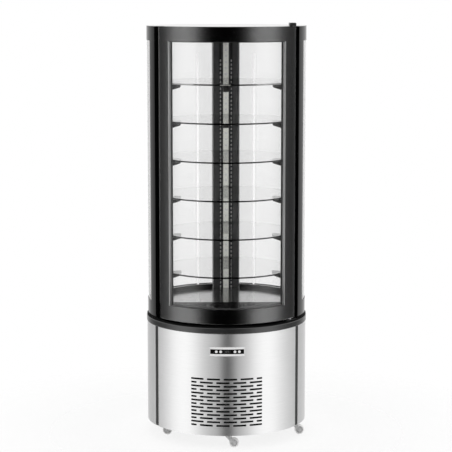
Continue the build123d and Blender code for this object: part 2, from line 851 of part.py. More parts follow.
with BuildPart() as controller_face:
    with BuildSketch(Plane.XY.offset(control_level - face_height / 2)):
        sector(face_radius - face_depth, face_radius, -face_half, face_half)
        with Locations((0, -face_radius + face_depth / 2 + housing_depth / 2)):
            Rectangle(control_face_width - 2 * housing_side, housing_depth)
        Circle(face_radius, mode=Mode.INTERSECT)
    extrude(amount=face_height)
    for place in button_places:
        front = sqrt(face_radius**2 - place**2)
        with BuildSketch(facing(0, front - button_well, control_level)):
            with Locations((place, 0)):
                Circle(button_radius + seat_gap)
        extrude(amount=button_well + overrun, mode=Mode.SUBTRACT)
save(controller_face, "controller_face")

for number, place in enumerate(button_places, start=1):
    with BuildPart() as button:
        front = sqrt(face_radius**2 - place**2) + button_proud
        with BuildSketch(facing(0, front, control_level)):
            with Locations((place, 0)):
                Circle(button_radius)
        extrude(amount=-button_length)
        chamfer(button.edges().group_by(Axis.Y)[0], button_edge)
    save(button, f"button_{number}")

# Compressor: a welded steel can on a footed plate
can_place = (-95.0, 90.0)
can_radius = 72.0
can_height = 165.0
can_crown = 38.0
can_seam = 4.0
can_seam_height = 9.0
foot_height = 16.0
foot_radius = 11.0
foot_pitch = 130.0
mount_plate = 3.0
mount_side = 160.0
mount_round = 14.0
terminal_width = 46.0
terminal_depth = 26.0
terminal_stand = 9.0
terminal_height = 54.0

can_level = pan_floor + foot_height + mount_plate

with BuildPart() as compressor:
    with BuildSketch(Plane.XY.offset(pan_floor)):
        with Locations(can_place):
            with GridLocations(foot_pitch, foot_pitch, 2, 2):
                Circle(foot_radius)
    extrude(amount=foot_height)
    with BuildSketch(Plane.XY.offset(pan_floor + foot_height)):
        with Locations(can_place):
            RectangleRounded(mount_side, mount_side, mount_round)
    extrude(amount=mount_plate)
    with BuildSketch(Plane.XY.offset(can_level)):
        with Locations(can_place):
            Circle(can_radius)
    extrude(amount=can_height)
    fillet(compressor.edges().group_by(Axis.Z)[-1], can_crown)
    with BuildSketch(Plane.XY.offset(can_level + can_height / 2)):
        with Locations(can_place):
            Circle(can_radius + can_seam)
    extrude(amount=can_seam_height)
    with BuildSketch(Plane.XY.offset(can_level + can_seam)):
        with Locations((can_place[0] - can_radius - terminal_stand, can_place[1])):
            Rectangle(terminal_depth, terminal_width)
    extrude(amount=terminal_height)
save(compressor, "compressor")

# Condenser: a finned block behind the vents, its fan in a ducted plate behind it
coil_width = 290.0
coil_height = 215.0
coil_depth = 44.0
coil_set_in = 64.5
coil_core = 20.0
fin_pitch = 10.0
fin_sheet = 2.0
coil_foot = 30.0
coil_entry = 125.0
hot_height = 100.0
shroud_sheet = 2.0
shroud_ring_depth = 26.0
shroud_ring_radius = 92.0
motor_radius = 34.0
motor_length = 48.0
motor_arm = 8.0
motor_arms = 3
fan_tip_radius = 86.0
fan_hub_radius = 24.0
fan_depth = 18.0
fan_blades = 5
blade_sheet = 2.5
blade_root_chord = 26.0
blade_tip_chord = 34.0
blade_root_pitch = 40.0
blade_tip_pitch = 24.0
shaft_radius = 4.0
condenser_share = 1.0

coil_level = pan_floor + coil_foot
coil_front = panel_inner - coil_set_in
coil_back = coil_front - coil_depth
fan_level = coil_level + coil_height / 2
hot_level = coil_level + hot_height
shroud_back = coil_back - shroud_sheet - shroud_ring_depth
fan_front = coil_back - shroud_sheet - swing_gap
motor_front = fan_front - fan_depth - 2 * swing_gap


def finned_block(width, depth, core):
    """Plan of a coil in the current sketch: a core with fins on both faces, about the location."""
    Rectangle(width, depth)
    groove = (depth - core) / 2
    count = int(width / fin_pitch)
    with GridLocations(fin_pitch, depth - groove, count, 2):
        Rectangle(fin_pitch - fin_sheet, groove, mode=Mode.SUBTRACT)


def fan_blade(hub, angle, tip_radius, scale_share):
    """Loft one twisted blade from inside the hub to the tip."""
    across = hub.x_dir * cos(radians(angle)) + hub.y_dir * sin(radians(angle))
    side = hub.y_dir * cos(radians(angle)) - hub.x_dir * sin(radians(angle))
    root = Plane(origin=hub.origin + across * fan_hub_radius * scale_share / 2, x_dir=side, z_dir=across)
    tip = Plane(origin=hub.origin + across * tip_radius, x_dir=side, z_dir=across)
    with BuildSketch(root) as root_section:
        Rectangle(blade_root_chord * scale_share, blade_sheet, rotation=blade_root_pitch)
    with BuildSketch(tip) as tip_section:
        Rectangle(blade_tip_chord * scale_share, blade_sheet, rotation=blade_tip_pitch)
    loft([root_section.sketch, tip_section.sketch])


with BuildPart() as condenser_coil:
    with BuildSketch(Plane.XY.offset(coil_level)):
        with Locations((0, -coil_front + coil_depth / 2)):
            finned_block(coil_width, coil_depth, coil_core)
    extrude(amount=coil_height)
    for side in (-1, 1):
        x = side * (coil_width + fin_sheet) / 2
        with BuildSketch(Plane.XY.offset(pan_floor)):
            with Locations((x, -coil_front + coil_depth / 2)):
                Rectangle(fin_sheet, coil_depth)
        extrude(amount=coil_height + coil_foot)
save(condenser_coil, "condenser_coil")

with BuildPart() as fan_shroud:
    shroud_front = facing(0, coil_back - seat_gap, fan_level)
    with BuildSketch(shroud_front):
        Rectangle(coil_width, coil_height)
    extrude(amount=-shroud_sheet)
    with BuildSketch(shroud_front):
        Circle(shroud_ring_radius + shroud_sheet)
    extrude(amount=-(shroud_sheet + shroud_ring_depth))
    with BuildSketch(shroud_front):
        Circle(shroud_ring_radius)
    extrude(amount=-(shroud_sheet + shroud_ring_depth), mode=Mode.SUBTRACT)
    with BuildSketch(facing(0, motor_front, fan_level)):
        Circle(motor_radius)
    extrude(amount=-motor_length)
    with BuildSketch(facing(0, motor_front, fan_level)):
        with PolarLocations(shroud_ring_radius / 2, motor_arms, start_angle=quarter_turn):
            Rectangle(shroud_ring_radius + shroud_sheet, motor_arm)
        Circle(motor_radius / 2, mode=Mode.SUBTRACT)
    extrude(amount=-(motor_front - shroud_back))
    with BuildSketch(facing(0, motor_front, fan_level)):
        Circle(shaft_radius)
    extrude(amount=fan_depth)
    with BuildSketch(facing(0, coil_back, hot_level)):
        with Locations((coil_entry, 0)):
            Circle(pipe_radius + pipe_hole_gap)
    extrude(amount=-(shroud_sheet + overrun), mode=Mode.SUBTRACT)
save(fan_shroud, "fan_shroud")

with BuildPart() as condenser_fan:
    fan_plane = facing(0, motor_front + 2 * swing_gap, fan_level)
    with BuildSketch(fan_plane):
        Circle(fan_hub_radius)
    extrude(amount=fan_depth)
    for blade in range(fan_blades):
        blade_angle = 2 * half_turn * blade / fan_blades
        fan_blade(fan_plane.offset(fan_depth / 2), blade_angle, fan_tip_radius, condenser_share)
    with BuildSketch(fan_plane):
        Circle(shaft_radius + running_gap)
    extrude(amount=fan_depth + overrun, both=True, mode=Mode.SUBTRACT)
save(condenser_fan, "condenser_fan")

# Evaporator: a finned block, its fan and motor in the tub under the deck
evaporator_width = 300.0
evaporator_depth = 60.0
evaporator_height = 78.0
evaporator_core = 30.0
evaporator_gap = 126.7
evaporator_share = 0.72
evaporator_fan_place = -40.0
evaporator_motor_radius = 26.0
evaporator_motor_height = 40.0
evaporator_tray = 2.0
evaporator_tip_radius = 62.0

tub_inside = tub_floor + tub_wall
evaporator_place = tub_radius - tub_wall - evaporator_gap
tray_top = tub_inside + evaporator_tray
evaporator_fan_level = tray_top + evaporator_motor_height + swing_gap

with BuildPart() as evaporator_unit:
    with BuildSketch(Plane.XY.offset(tray_top)):
        with Locations((0, evaporator_place)):
            finned_block(evaporator_width, evaporator_depth, evaporator_core)
    extrude(amount=evaporator_height)
    with BuildSketch(Plane.XY.offset(tub_inside)):
        with Locations((0, evaporator_place)):
            Rectangle(evaporator_width, evaporator_depth)
        with Locations((0, (evaporator_place + evaporator_fan_place) / 2)):
            Rectangle(2 * evaporator_motor_radius, evaporator_place - evaporator_fan_place)
        with Locations((0, evaporator_fan_place)):
            Circle(evaporator_motor_radius)
    extrude(amount=evaporator_tray)
    with BuildSketch(Plane.XY.offset(tray_top)):
        with Locations((0, evaporator_fan_place)):
            Circle(evaporator_motor_radius)
    extrude(amount=evaporator_motor_height)
    with BuildSketch(Plane.XY.offset(tray_top)):
        with Locations((0, evaporator_fan_place)):
            Circle(shaft_radius)
    extrude(amount=evaporator_motor_height + fan_depth)
save(evaporator_unit, "evaporator_unit")

with BuildPart() as evaporator_fan:
    fan_plane = Plane(origin=(0, evaporator_fan_place, evaporator_fan_level), z_dir=(0, 0, 1))
    with BuildSketch(fan_plane):
        Circle(fan_hub_radius * evaporator_share)
    extrude(amount=fan_depth)
    for blade in range(fan_blades):
        blade_angle = 2 * half_turn * blade / fan_blades
        fan_blade(fan_plane.offset(fan_depth / 2), blade_angle, evaporator_tip_radius, evaporator_share)
    with BuildSketch(fan_plane):
        Circle(shaft_radius + running_gap)
    extrude(amount=fan_depth + overrun, both=True, mode=Mode.SUBTRACT)
save(evaporator_fan, "evaporator_fan")

# Pipework: copper runs from the can to both coils
pipe_bend = 24.0
pipe_run = 60.0

with BuildPart() as pipework:
    tub_entries = [
        (pipe_place[0] - pipe_pitch / 2, pipe_place[1]),
        (pipe_place[0] + pipe_pitch / 2, pipe_place[1]),
    ]
    can_top = can_level + can_height
    routes = [
        [
            (can_place[0], can_place[1], can_top),
            (can_place[0], can_place[1], can_top + pipe_run),
            (tub_entries[0][0], tub_entries[0][1], can_top + pipe_run),
            (tub_entries[0][0], tub_entries[0][1], tray_top + pipe_bend),
        ],
        [
            (coil_entry, -coil_back + seat_gap, hot_level),
            (coil_entry, -coil_back + 2 * pipe_run, hot_level),
            (tub_entries[1][0], tub_entries[1][1], hot_level),
            (tub_entries[1][0], tub_entries[1][1], tray_top + pipe_bend),
        ],
    ]
    for points in routes:
        with BuildLine() as route:
            FilletPolyline(*points, radius=pipe_bend)
        with BuildSketch(Plane(origin=route.line @ 0, z_dir=route.line % 0)):
            Circle(pipe_radius)
        sweep(path=route.line)
save(pipework, "pipework")

# Castors: five round the base, each trailing the same way
castor_count = 5
castor_inset = 42.0
castor_trail = 29.0
wheel_radius = 20.0
wheel_width = 16.0
wheel_hub_width = 19.0
wheel_hub_radius = 7.0
wheel_round = 3.0
wheel_recess = 2.5
wheel_rim = 5.0
axle_radius = 3.0
axle_head_radius = 5.0
axle_head = 1.5
fork_sheet = 2.5
fork_head_radius = 18.0
fork_head_height = 5.0
fork_eye_radius = 7.5
castor_plate_side = 44.0
castor_plate_sheet = 2.5
castor_plate_round = 4.0
kingpin_radius = 4.0
kingpin_head_radius = 7.0
kingpin_head = 2.5

castor_radius = panel_radius - castor_inset
plate_level = pan_level - castor_plate_sheet
fork_top = plate_level - seat_gap
fork_under = fork_top - fork_head_height
castor_angles = [2 * half_turn * number / castor_count for number in range(castor_count)]

with BuildPart() as castor_plates:
    for angle in castor_angles:
        place = polar(castor_radius, angle)
        with BuildSketch(Plane.XY.offset(plate_level)):
            with Locations(place):
                RectangleRounded(castor_plate_side, castor_plate_side, castor_plate_round)
        extrude(amount=castor_plate_sheet)
        with BuildSketch(Plane.XY.offset(fork_under - seat_gap - kingpin_head)):
            with Locations(place):
                Circle(kingpin_radius)
        extrude(amount=kingpin_head + seat_gap + fork_head_height + seat_gap)
        with BuildSketch(Plane.XY.offset(fork_under - seat_gap - kingpin_head)):
            with Locations(place):
                Circle(kingpin_head_radius)
        extrude(amount=kingpin_head)
save(castor_plates, "castor_plates")

for number, angle in enumerate(castor_angles, start=1):
    x, y = polar(castor_radius, angle)
    axle_x = x + castor_trail
    half_hub = wheel_hub_width / 2
    leg_inner = half_hub + seat_gap
    with BuildPart() as fork:
        with BuildSketch(Plane.XY.offset(fork_under)):
            with Locations((x, y)):
                Circle(fork_head_radius)
        extrude(amount=fork_head_height)
        for side in (-1, 1):
            leg_face = y + side * (leg_inner + fork_sheet)
            leg_plane = Plane(origin=(0, leg_face, 0), x_dir=(1, 0, 0), z_dir=(0, -1, 0))
            with BuildSketch(leg_plane):
                with Locations((axle_x, wheel_radius)):
                    Circle(fork_eye_radius)
                with Locations((x, fork_under + fork_head_height / 4)):
                    Rectangle(fork_head_radius, fork_head_height / 2)
                make_hull()
            extrude(amount=side * fork_sheet)
            with BuildSketch(leg_plane):
                with Locations((axle_x, wheel_radius)):
                    Circle(axle_head_radius)
            extrude(amount=-side * axle_head)
        axle_plane = Plane(origin=(axle_x, y, wheel_radius), x_dir=(1, 0, 0), z_dir=(0, -1, 0))
        with BuildSketch(axle_plane):
            Circle(axle_radius)
        extrude(amount=leg_inner + fork_sheet, both=True)
        with BuildSketch(Plane.XY.offset(fork_under - overrun)):
            with Locations((x, y)):
                Circle(kingpin_radius + running_gap)
        extrude(amount=fork_head_height + 2 * overrun, mode=Mode.SUBTRACT)
    save(fork, f"castor_{number}_fork")

    with BuildPart() as wheel:
        with BuildSketch(axle_plane):
            Circle(wheel_radius)
        extrude(amount=wheel_width / 2, both=True)
        fillet(wheel.edges().filter_by(GeomType.CIRCLE), wheel_round)
        with BuildSketch(axle_plane.offset(wheel_width / 2 - wheel_recess)):
            Circle(wheel_radius - wheel_rim)
        extrude(amount=wheel_recess, mode=Mode.SUBTRACT)
        with BuildSketch(axle_plane.offset(wheel_recess - wheel_width / 2)):
            Circle(wheel_radius - wheel_rim)
        extrude(amount=-wheel_recess, mode=Mode.SUBTRACT)
        with BuildSketch(axle_plane):
            Circle(wheel_hub_radius)
        extrude(amount=half_hub, both=True)
        with BuildSketch(axle_plane):
            Circle(axle_radius + running_gap)
        extrude(amount=half_hub + overrun, both=True, mode=Mode.SUBTRACT)
    save(wheel, f"castor_{number}_wheel")
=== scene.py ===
"""Round refrigerated display case: the look of every piece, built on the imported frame."""

import logging
import math
from collections.abc import Callable, Sequence
from dataclasses import dataclass
from enum import Enum
from functools import cache
from itertools import pairwise

import bmesh
import bpy
from mathutils import Matrix, Vector
from mathutils.geometry import convex_hull_2d


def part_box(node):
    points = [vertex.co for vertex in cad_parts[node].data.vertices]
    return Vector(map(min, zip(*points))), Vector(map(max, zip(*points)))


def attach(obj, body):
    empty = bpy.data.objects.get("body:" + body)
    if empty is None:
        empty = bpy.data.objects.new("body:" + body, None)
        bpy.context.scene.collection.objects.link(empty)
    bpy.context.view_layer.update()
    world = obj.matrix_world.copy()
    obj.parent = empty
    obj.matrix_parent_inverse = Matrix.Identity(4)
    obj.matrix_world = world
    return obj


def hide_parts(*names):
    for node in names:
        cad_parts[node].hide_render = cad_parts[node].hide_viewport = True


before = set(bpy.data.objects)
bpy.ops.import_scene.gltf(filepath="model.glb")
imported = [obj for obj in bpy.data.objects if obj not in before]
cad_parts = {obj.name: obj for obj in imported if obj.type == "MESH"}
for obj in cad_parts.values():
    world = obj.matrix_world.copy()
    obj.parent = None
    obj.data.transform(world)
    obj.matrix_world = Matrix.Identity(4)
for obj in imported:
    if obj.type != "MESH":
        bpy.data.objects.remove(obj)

LOG = logging.getLogger("display_case")
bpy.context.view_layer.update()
WELD = 1e-6
SHARP_ANGLE = math.radians(35)
FULL_TURN = 360.0
HALF_TURN = 180.0
QUARTER = math.radians(90)
SEAT_GAP = 0.0003

Profile = Sequence[tuple[float, float]]
Tone = tuple[float, float, float, float]


def low(node: str) -> Vector:
    """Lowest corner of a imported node."""
    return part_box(node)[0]


def high(node: str) -> Vector:
    """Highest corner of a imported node."""
    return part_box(node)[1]


def polar(angle: float, radius: float, level: float) -> Vector:
    """Point at an angle in degrees from the front, positive towards +X."""
    turn = math.radians(angle)
    return Vector((radius * math.sin(turn), -radius * math.cos(turn), level))


def stations(*marks: float, step: float = 1.0) -> list[float]:
    """Values that pass through every mark, with even steps between the marks.

    Args:
        marks: The values to pass through, in order.
        step: The widest step between two neighbours.

    Returns:
        The values in order.
    """
    found = [marks[0]]
    for start, end in pairwise(marks):
        count = max(1, math.ceil(abs(end - start) / step - WELD))
        found += [start + (end - start) * number / count for number in range(1, count + 1)]
    return found


def arc_angle(length: float, radius: float) -> float:
    """Angle in degrees that a length spans along a circle."""
    return math.degrees(length / radius)


def upright_place(angle: float, radius: float, level: float) -> Matrix:
    """Matrix whose Z looks outwards from the case at an angle, with its Y upwards."""
    return (
        Matrix.Translation(polar(angle, radius, level))
        @ Matrix.Rotation(math.radians(angle), 4, "Z")
        @ Matrix.Rotation(QUARTER, 4, "X")
    )


def settle(piece: bpy.types.Object) -> bpy.types.Object:
    """Turn a piece with its modifiers into a plain mesh.

    Args:
        piece: The object, linked to the scene.

    Returns:
        The same object with the result as its own mesh.
    """
    graph = bpy.context.evaluated_depsgraph_get()
    result = bpy.data.meshes.new_from_object(piece.evaluated_get(graph), depsgraph=graph)
    rough = piece.data
    piece.modifiers.clear()
    piece.data = result
    bpy.data.meshes.remove(rough)
    result.name = piece.name
    return piece


class Shell:
    """A closed surface under construction."""

    def __init__(self) -> None:
        """Start with nothing."""
        self.mesh = bmesh.new()

    def loft(
        self, loops: Sequence[Sequence[Vector]], capped: bool = True, looped: bool = False
    ) -> "Shell":
        """Join loops of as many points each by faces.

        Args:
            loops: The loops in order.
            capped: Whether the first and the last loop are closed with a face.
            looped: Whether the last loop is joined to the first.

        Returns:
            This shell.
        """
        rings = [[self.mesh.verts.new(point) for point in loop] for loop in loops]
        if looped:
            rings.append(rings[0])
        for lower, upper in pairwise(rings):
            for number, point in enumerate(lower):
                after = (number + 1) % len(lower)
                self.mesh.faces.new((point, lower[after], upper[after], upper[number]))
        if capped and not looped:
            self.mesh.faces.new(rings[0])
            self.mesh.faces.new(list(reversed(rings[-1])))
        return self

    def lathe(
        self,
        profile: Profile,
        place: Matrix = Matrix.Identity(4),
        sides: int = 96,
        looped: bool = False,
    ) -> "Shell":
        """Turn a profile of radius and height about the Z axis of a place.

        Args:
            profile: The points, from axis to axis or round a closed section.
            place: The matrix that puts the turned shape in the case.
            sides: How many steps make the turn.
            looped: Whether the profile is a closed section.

        Returns:
            This shell.
        """
        turns = [2 * math.pi * side / sides for side in range(sides)]
        loops = [
            [place @ Vector((radius * math.cos(t), radius * math.sin(t), height)) for t in turns]
            for radius, height in profile
        ]
        return self.loft(loops, capped=False, looped=looped)

    def block(self, lowest: Vector, highest: Vector) -> "Shell":
        """Add an upright box between two corners."""
        xs = (lowest.x, highest.x, highest.x, lowest.x)
        ys = (lowest.y, lowest.y, highest.y, highest.y)
        return self.loft([[Vector((x, y, z)) for x, y in zip(xs, ys)] for z in (lowest.z, highest.z)])

    def rings(
        self,
        angles: Sequence[float],
        radii: Sequence[float | Callable[[float], float]],
        levels: Sequence[float],
        filled: Callable[[float, int, int], bool] = lambda angle, ring, tier: True,
        closed: bool = False,
        place: Callable[[float, float, float], Vector] = polar,
    ) -> "Shell":
        """Fill cells of a grid round the case, with faces where a full cell meets an empty one.

        Args:
            angles: The grid's angles in degrees.
            radii: The grid's radii, or functions that give the radius at an angle.
            levels: The grid's levels.
            filled: Says from a cell's middle angle, ring number and tier number if it is full.
            closed: Whether the last angle is joined to the first.
            place: Gives a grid point from its angle, radius and level.

        Returns:
            This shell.
        """
        spans = len(angles) if closed else len(angles) - 1
        step = angles[1] - angles[0]
        cells = {
            (span, ring, tier)
            for span in range(spans)
            for ring in range(len(radii) - 1)
            for tier in range(len(levels) - 1)
            if filled(
                (angles[span] + (angles[span] + step if closed else angles[span + 1])) / 2, ring, tier
            )
        }
        corners: dict[tuple[int, int, int], bmesh.types.BMVert] = {}

        def corner(span: int, ring: int, tier: int) -> bmesh.types.BMVert:
            """Grid point as a vertex, made once."""
            key = (span % spans if closed else span, ring, tier)
            if key not in corners:
                angle, radius = angles[key[0]], radii[ring]
                radius = radius(angle) if callable(radius) else radius
                corners[key] = self.mesh.verts.new(place(angle, radius, levels[tier]))
            return corners[key]

        for cell in sorted(cells):
            for axis in range(3):
                first, second = (other for other in range(3) if other != axis)
                for side in (0, 1):
                    beside = list(cell)
                    beside[axis] += 2 * side - 1
                    if closed:
                        beside[0] %= spans
                    if tuple(beside) in cells:
                        continue
                    face = []
                    for along, up in ((0, 0), (1, 0), (1, 1), (0, 1)):
                        key = list(cell)
                        key[axis] += side
                        key[first] += along
                        key[second] += up
                        face.append(corner(*key))
                    self.mesh.faces.new(face)
        return self

    def build(self, name: str, bevel: float = 0.0, segments: int = 2) -> bpy.types.Object:
        """Weld the shell, face it outwards, round its edges and make it an object.

        Args:
            name: The object's name.
            bevel: How wide the edges are rounded, in metres.
            segments: How many faces go round an edge.

        Returns:
            The object with a plain mesh.
        """
        bmesh.ops.remove_doubles(self.mesh, verts=self.mesh.verts, dist=WELD)
        bmesh.ops.dissolve_degenerate(self.mesh, edges=self.mesh.edges, dist=WELD)
        bmesh.ops.recalc_face_normals(self.mesh, faces=self.mesh.faces)
        mesh = bpy.data.meshes.new(name)
        self.mesh.to_mesh(mesh)
        self.mesh.free()
        mesh.shade_smooth()
        piece = bpy.data.objects.new(name, mesh)
        bpy.context.scene.collection.objects.link(piece)
        if not bevel:
            mesh.set_sharp_from_angle(angle=SHARP_ANGLE)
            return piece
        rounding = piece.modifiers.new("rounding", "BEVEL")
        rounding.width = bevel
        rounding.segments = segments
        rounding.limit_method = "ANGLE"
        rounding.angle_limit = SHARP_ANGLE
        piece.modifiers.new("flat_faces", "WEIGHTED_NORMAL")
        return settle(piece)


def carve(piece: bpy.types.Object, cutter: bpy.types.Object) -> bpy.types.Object:
    """Take a cutter's room out of a piece and remove the cutter."""
    cut = piece.modifiers.new("cut", "BOOLEAN")
    cut.operation = "DIFFERENCE"
    cut.solver = "EXACT"
    cut.object = cutter
    settle(piece)
    bpy.data.objects.remove(cutter)
    piece.data.set_sharp_from_angle(angle=SHARP_ANGLE)
    return piece


def round_normals(piece: bpy.types.Object) -> None:
    """Shade a cut sheet about the case's axis as the smooth curve that it is."""
    mesh = piece.data
    normals = [Vector(corner.vector) for corner in mesh.corner_normals]
    for face in mesh.polygons:
        middle = Vector((face.center.x, face.center.y, 0)).normalized()
        facing = face.normal.dot(middle)
        for loop in face.loop_indices:
            if abs(facing) > 0.98:
                point = mesh.vertices[mesh.loops[loop].vertex_index].co
                outward = Vector((point.x, point.y, 0)).normalized()
                normals[loop] = outward * math.copysign(1, facing)
            else:
                normals[loop] = face.normal.copy()
    mesh.normals_split_custom_set(normals)


class Graph:
    """A node tree under construction."""

    def __init__(self, tree: bpy.types.NodeTree) -> None:
        """Start from an emptied tree."""
        self.tree = tree
        tree.nodes.clear()

    def add(self, kind: str, inputs: dict | None = None, **settings) -> bpy.types.Node:
        """Add a node.

        Args:
            kind: The node's type.
            inputs: What each input takes, by name or number: a value or another node's output.
            settings: The node's own settings.

        Returns:
            The node.
        """
        node = self.tree.nodes.new(kind)
        for name, value in settings.items():
            setattr(node, name, value)
        for name, value in (inputs or {}).items():
            if isinstance(value, bpy.types.NodeSocket):
                self.tree.links.new(value, node.inputs[name])
            else:
                node.inputs[name].default_value = value
        return node

    def math(self, operation: str, first, second=0.0) -> bpy.types.NodeSocket:
        """Output of a sum, product or other function of two numbers."""
        return self.add("ShaderNodeMath", {0: first, 1: second}, operation=operation).outputs[0]

    def between(self, value, lowest: float, highest: float, start=0.0, end=1.0) -> bpy.types.NodeSocket:
        """Output of a number carried from one range to another."""
        inputs = {"Value": value, "From Min": lowest, "From Max": highest, "To Min": start, "To Max": end}
        return self.add("ShaderNodeMapRange", inputs).outputs[0]


class Grain(Enum):
    """Which way the fine marks in a surface run, as the stretch of their pattern."""

    EVEN = (1.0, 1.0, 1.0)
    UPRIGHT = (1.0, 1.0, 0.01)
    ACROSS = (0.01, 1.0, 1.0)
    LEVEL = (0.02, 0.02, 1.0)


@dataclass(frozen=True)
class Finish:
    """A surface: its two tones, its shine and the fine marks in it."""

    slot: str
    light: Tone
    dark: Tone
    metallic: float = 0.0
    roughness: tuple[float, float] = (0.3, 0.45)
    marks: float = 400.0
    grain: Grain = Grain.EVEN
    relief: float = 0.0
    ior: float = 1.5
    coat: float = 0.0
    clear: float = 0.0
    brushed: float = 0.0
    glow: float = 0.0
    name: str = ""

    def shade(self, graph: Graph, shader: bpy.types.Node) -> None:
        """Link the tones, the roughness and the relief to a shader.

        Args:
            graph: The material's node tree.
            shader: The Principled node.
        """
        place = graph.add("ShaderNodeTexCoord").outputs["Object"]
        stretched = graph.add("ShaderNodeMapping", {"Vector": place, "Scale": self.grain.value})
        fine = graph.add(
            "ShaderNodeTexNoise", {"Vector": stretched.outputs[0], "Scale": self.marks, "Detail": 4.0}
        ).outputs[0]
        broad = graph.add("ShaderNodeTexNoise", {"Vector": place, "Scale": 7.0, "Detail": 3.0}).outputs[0]
        both = graph.math("ADD", graph.math("MULTIPLY", fine, 0.7), graph.math("MULTIPLY", broad, 0.3))
        share = graph.between(both, 0.35, 0.65)
        tone = graph.add(
            "ShaderNodeMix", {0: share, 6: self.dark, 7: self.light}, data_type="RGBA"
        ).outputs[2]
        graph.tree.links.new(tone, shader.inputs["Base Color"])
        dull = graph.between(both, 0.3, 0.7, *self.roughness)
        graph.tree.links.new(dull, shader.inputs["Roughness"])
        if self.relief:
            bump = graph.add("ShaderNodeBump", {"Height": fine, "Distance": self.relief, "Strength": 0.5})
            graph.tree.links.new(bump.outputs[0], shader.inputs["Normal"])

    @cache
    def material(self) -> bpy.types.Material:
        """Material of this finish, made once."""
        made = bpy.data.materials.new(f"{self.name or self.slot}_surface")
        made.use_nodes = True
        graph = Graph(made.node_tree)
        shader = graph.add(
            "ShaderNodeBsdfPrincipled",
            {
                "Metallic": self.metallic,
                "IOR": self.ior,
                "Coat Weight": self.coat,
                "Transmission Weight": self.clear,
                "Anisotropic": self.brushed,
                "Emission Color": grey(1.0),
                "Emission Strength": self.glow,
            },
        )
        self.shade(graph, shader)
        surface = shader.outputs[0]
        if self.brushed:
            spread = graph.add("ShaderNodeCombineXYZ", {"Z": 1.0}).outputs[0]
            graph.tree.links.new(spread, shader.inputs["Tangent"])
        if self.clear:
            rays = graph.add("ShaderNodeLightPath").outputs
            lit = graph.math("MAXIMUM", rays["Is Shadow Ray"], rays["Is Diffuse Ray"])
            open_way = graph.add("ShaderNodeBsdfTransparent").outputs[0]
            surface = graph.add("ShaderNodeMixShader", {0: lit, 1: surface, 2: open_way}).outputs[0]
        graph.add("ShaderNodeOutputMaterial", {"Surface": surface})
        return made


def grey(value: float, warm: float = 0.0) -> Tone:
    """Neutral tone, a little warmer with a positive second value."""
    return (value * (1 + warm), value, value * (1 - warm), 1.0)


BRUSHED = Finish(
    "brushed_panel", grey(0.88), grey(0.82), 1.0, (0.37, 0.43), 900.0, Grain.LEVEL, brushed=0.9
)
TRIM = Finish("dark_trim", grey(0.022), grey(0.014), 0.0, (0.16, 0.26), 300.0, relief=0.00001, ior=1.75)
DECK = Finish("mirror_deck", grey(0.47), grey(0.37), 1.0, (0.14, 0.22), 380.0, Grain.ACROSS, 0.00001)
GLOSS = Finish("black_gloss", grey(0.0014), grey(0.0008), 0.0, (0.03, 0.07), 90.0, ior=2.2)
SILL = Finish("black_gloss", grey(0.006), grey(0.004), 0.0, (0.18, 0.26), 90.0, ior=1.07, name="sill_paint")
COLUMN = Finish(
    "black_metal", grey(0.078), grey(0.06), 0.0, (0.35, 0.45), 700.0, relief=0.00003, name="column_paint"
)
CAP = Finish("black_cap", grey(0.0014), grey(0.0008), 0.0, (0.04, 0.08), 120.0, ior=2.2)
BLACK_METAL = Finish("black_metal", grey(0.02), grey(0.012), 0.0, (0.32, 0.44), 900.0, relief=0.00004)
CAN = Finish("black_steel_can", grey(0.014), grey(0.009), 0.0, (0.25, 0.4), 300.0, relief=0.00005)
BLACK_PLASTIC = Finish("black_plastic", grey(0.012), grey(0.008), 0.0, (0.3, 0.4), 700.0, relief=0.00003)
LINER = Finish("black_liner", grey(0.02), grey(0.012), 0.0, (0.45, 0.6), 500.0, relief=0.00005)
LINING = Finish(
    "black_liner", grey(0.009), grey(0.006), 0.0, (0.45, 0.6), 500.0, relief=0.00003, ior=1.22, name="rail_liner"
)
COVER = Finish("pale_cover", grey(0.78, 0.004), grey(0.7, 0.004), 0.0, (0.3, 0.42), 260.0, relief=0.00002)
PALE_PLASTIC = Finish("pale_plastic", grey(0.82), grey(0.76), 0.0, (0.28, 0.38), 500.0, relief=0.00002)
DIFFUSER = Finish(
    "light_diffuser", (0.8, 0.81, 0.74, 1.0), (0.72, 0.73, 0.66, 1.0), 0.0, (0.3, 0.45), 320.0, glow=0.12
)
CHIP = Finish("light_diffuser", grey(0.78), grey(0.7), 0.0, (0.25, 0.35), 900.0, name="light_chip")
DIGIT = Finish("light_diffuser", grey(0.3), grey(0.24), 0.0, (0.3, 0.45), 900.0, name="dim_digit")
GLASS = Finish(
    "clear_glass", grey(0.968), grey(0.962), 0.0, (0.0, 0.012), 30.0,
    ior=1.3, clear=1.0,
)
# Pale strip that glows though it is no lamp: a painted highlight on the inside of the side glass.
PAINTED_HIGHLIGHT = Finish(
    "pale_plastic", grey(0.9), grey(0.84), 0.0, (0.3, 0.4), 500.0, glow=0.62, name="pane_joint"
)
SPACER = Finish("spacer_bar", grey(0.6), grey(0.52), 1.0, (0.3, 0.42), 600.0, Grain.UPRIGHT, 0.00002)
FACE = Finish("black_plastic", grey(0.003), grey(0.002), 0.0, (0.2, 0.3), 500.0, ior=1.25, name="face_film")
BRACKET = Finish(
    "black_plastic", grey(0.005), grey(0.003), 0.0, (0.3, 0.4), 700.0, relief=0.00003, ior=1.3, name="bracket_coat"
)
# Near-black rubber that stands in for shade: painted shadow in the gap over the trim ring and in the groove under the
# rails.
SHADOW_BLACK = Finish(
    "seal_rubber", grey(0.003), grey(0.002), 0.0, (0.5, 0.65), 600.0, relief=0.00003, ior=1.12, name="foot_rubber"
)
SEAL = Finish("seal_rubber", grey(0.02), grey(0.012), 0.0, (0.5, 0.65), 600.0, relief=0.00005)
GALVANISED = Finish("galvanised", grey(0.62), grey(0.46), 1.0, (0.35, 0.55), 45.0)
CASTOR_STEEL = Finish("zinc", grey(0.8), grey(0.62), 0.5, (0.3, 0.42), 240.0, name="castor_zinc")
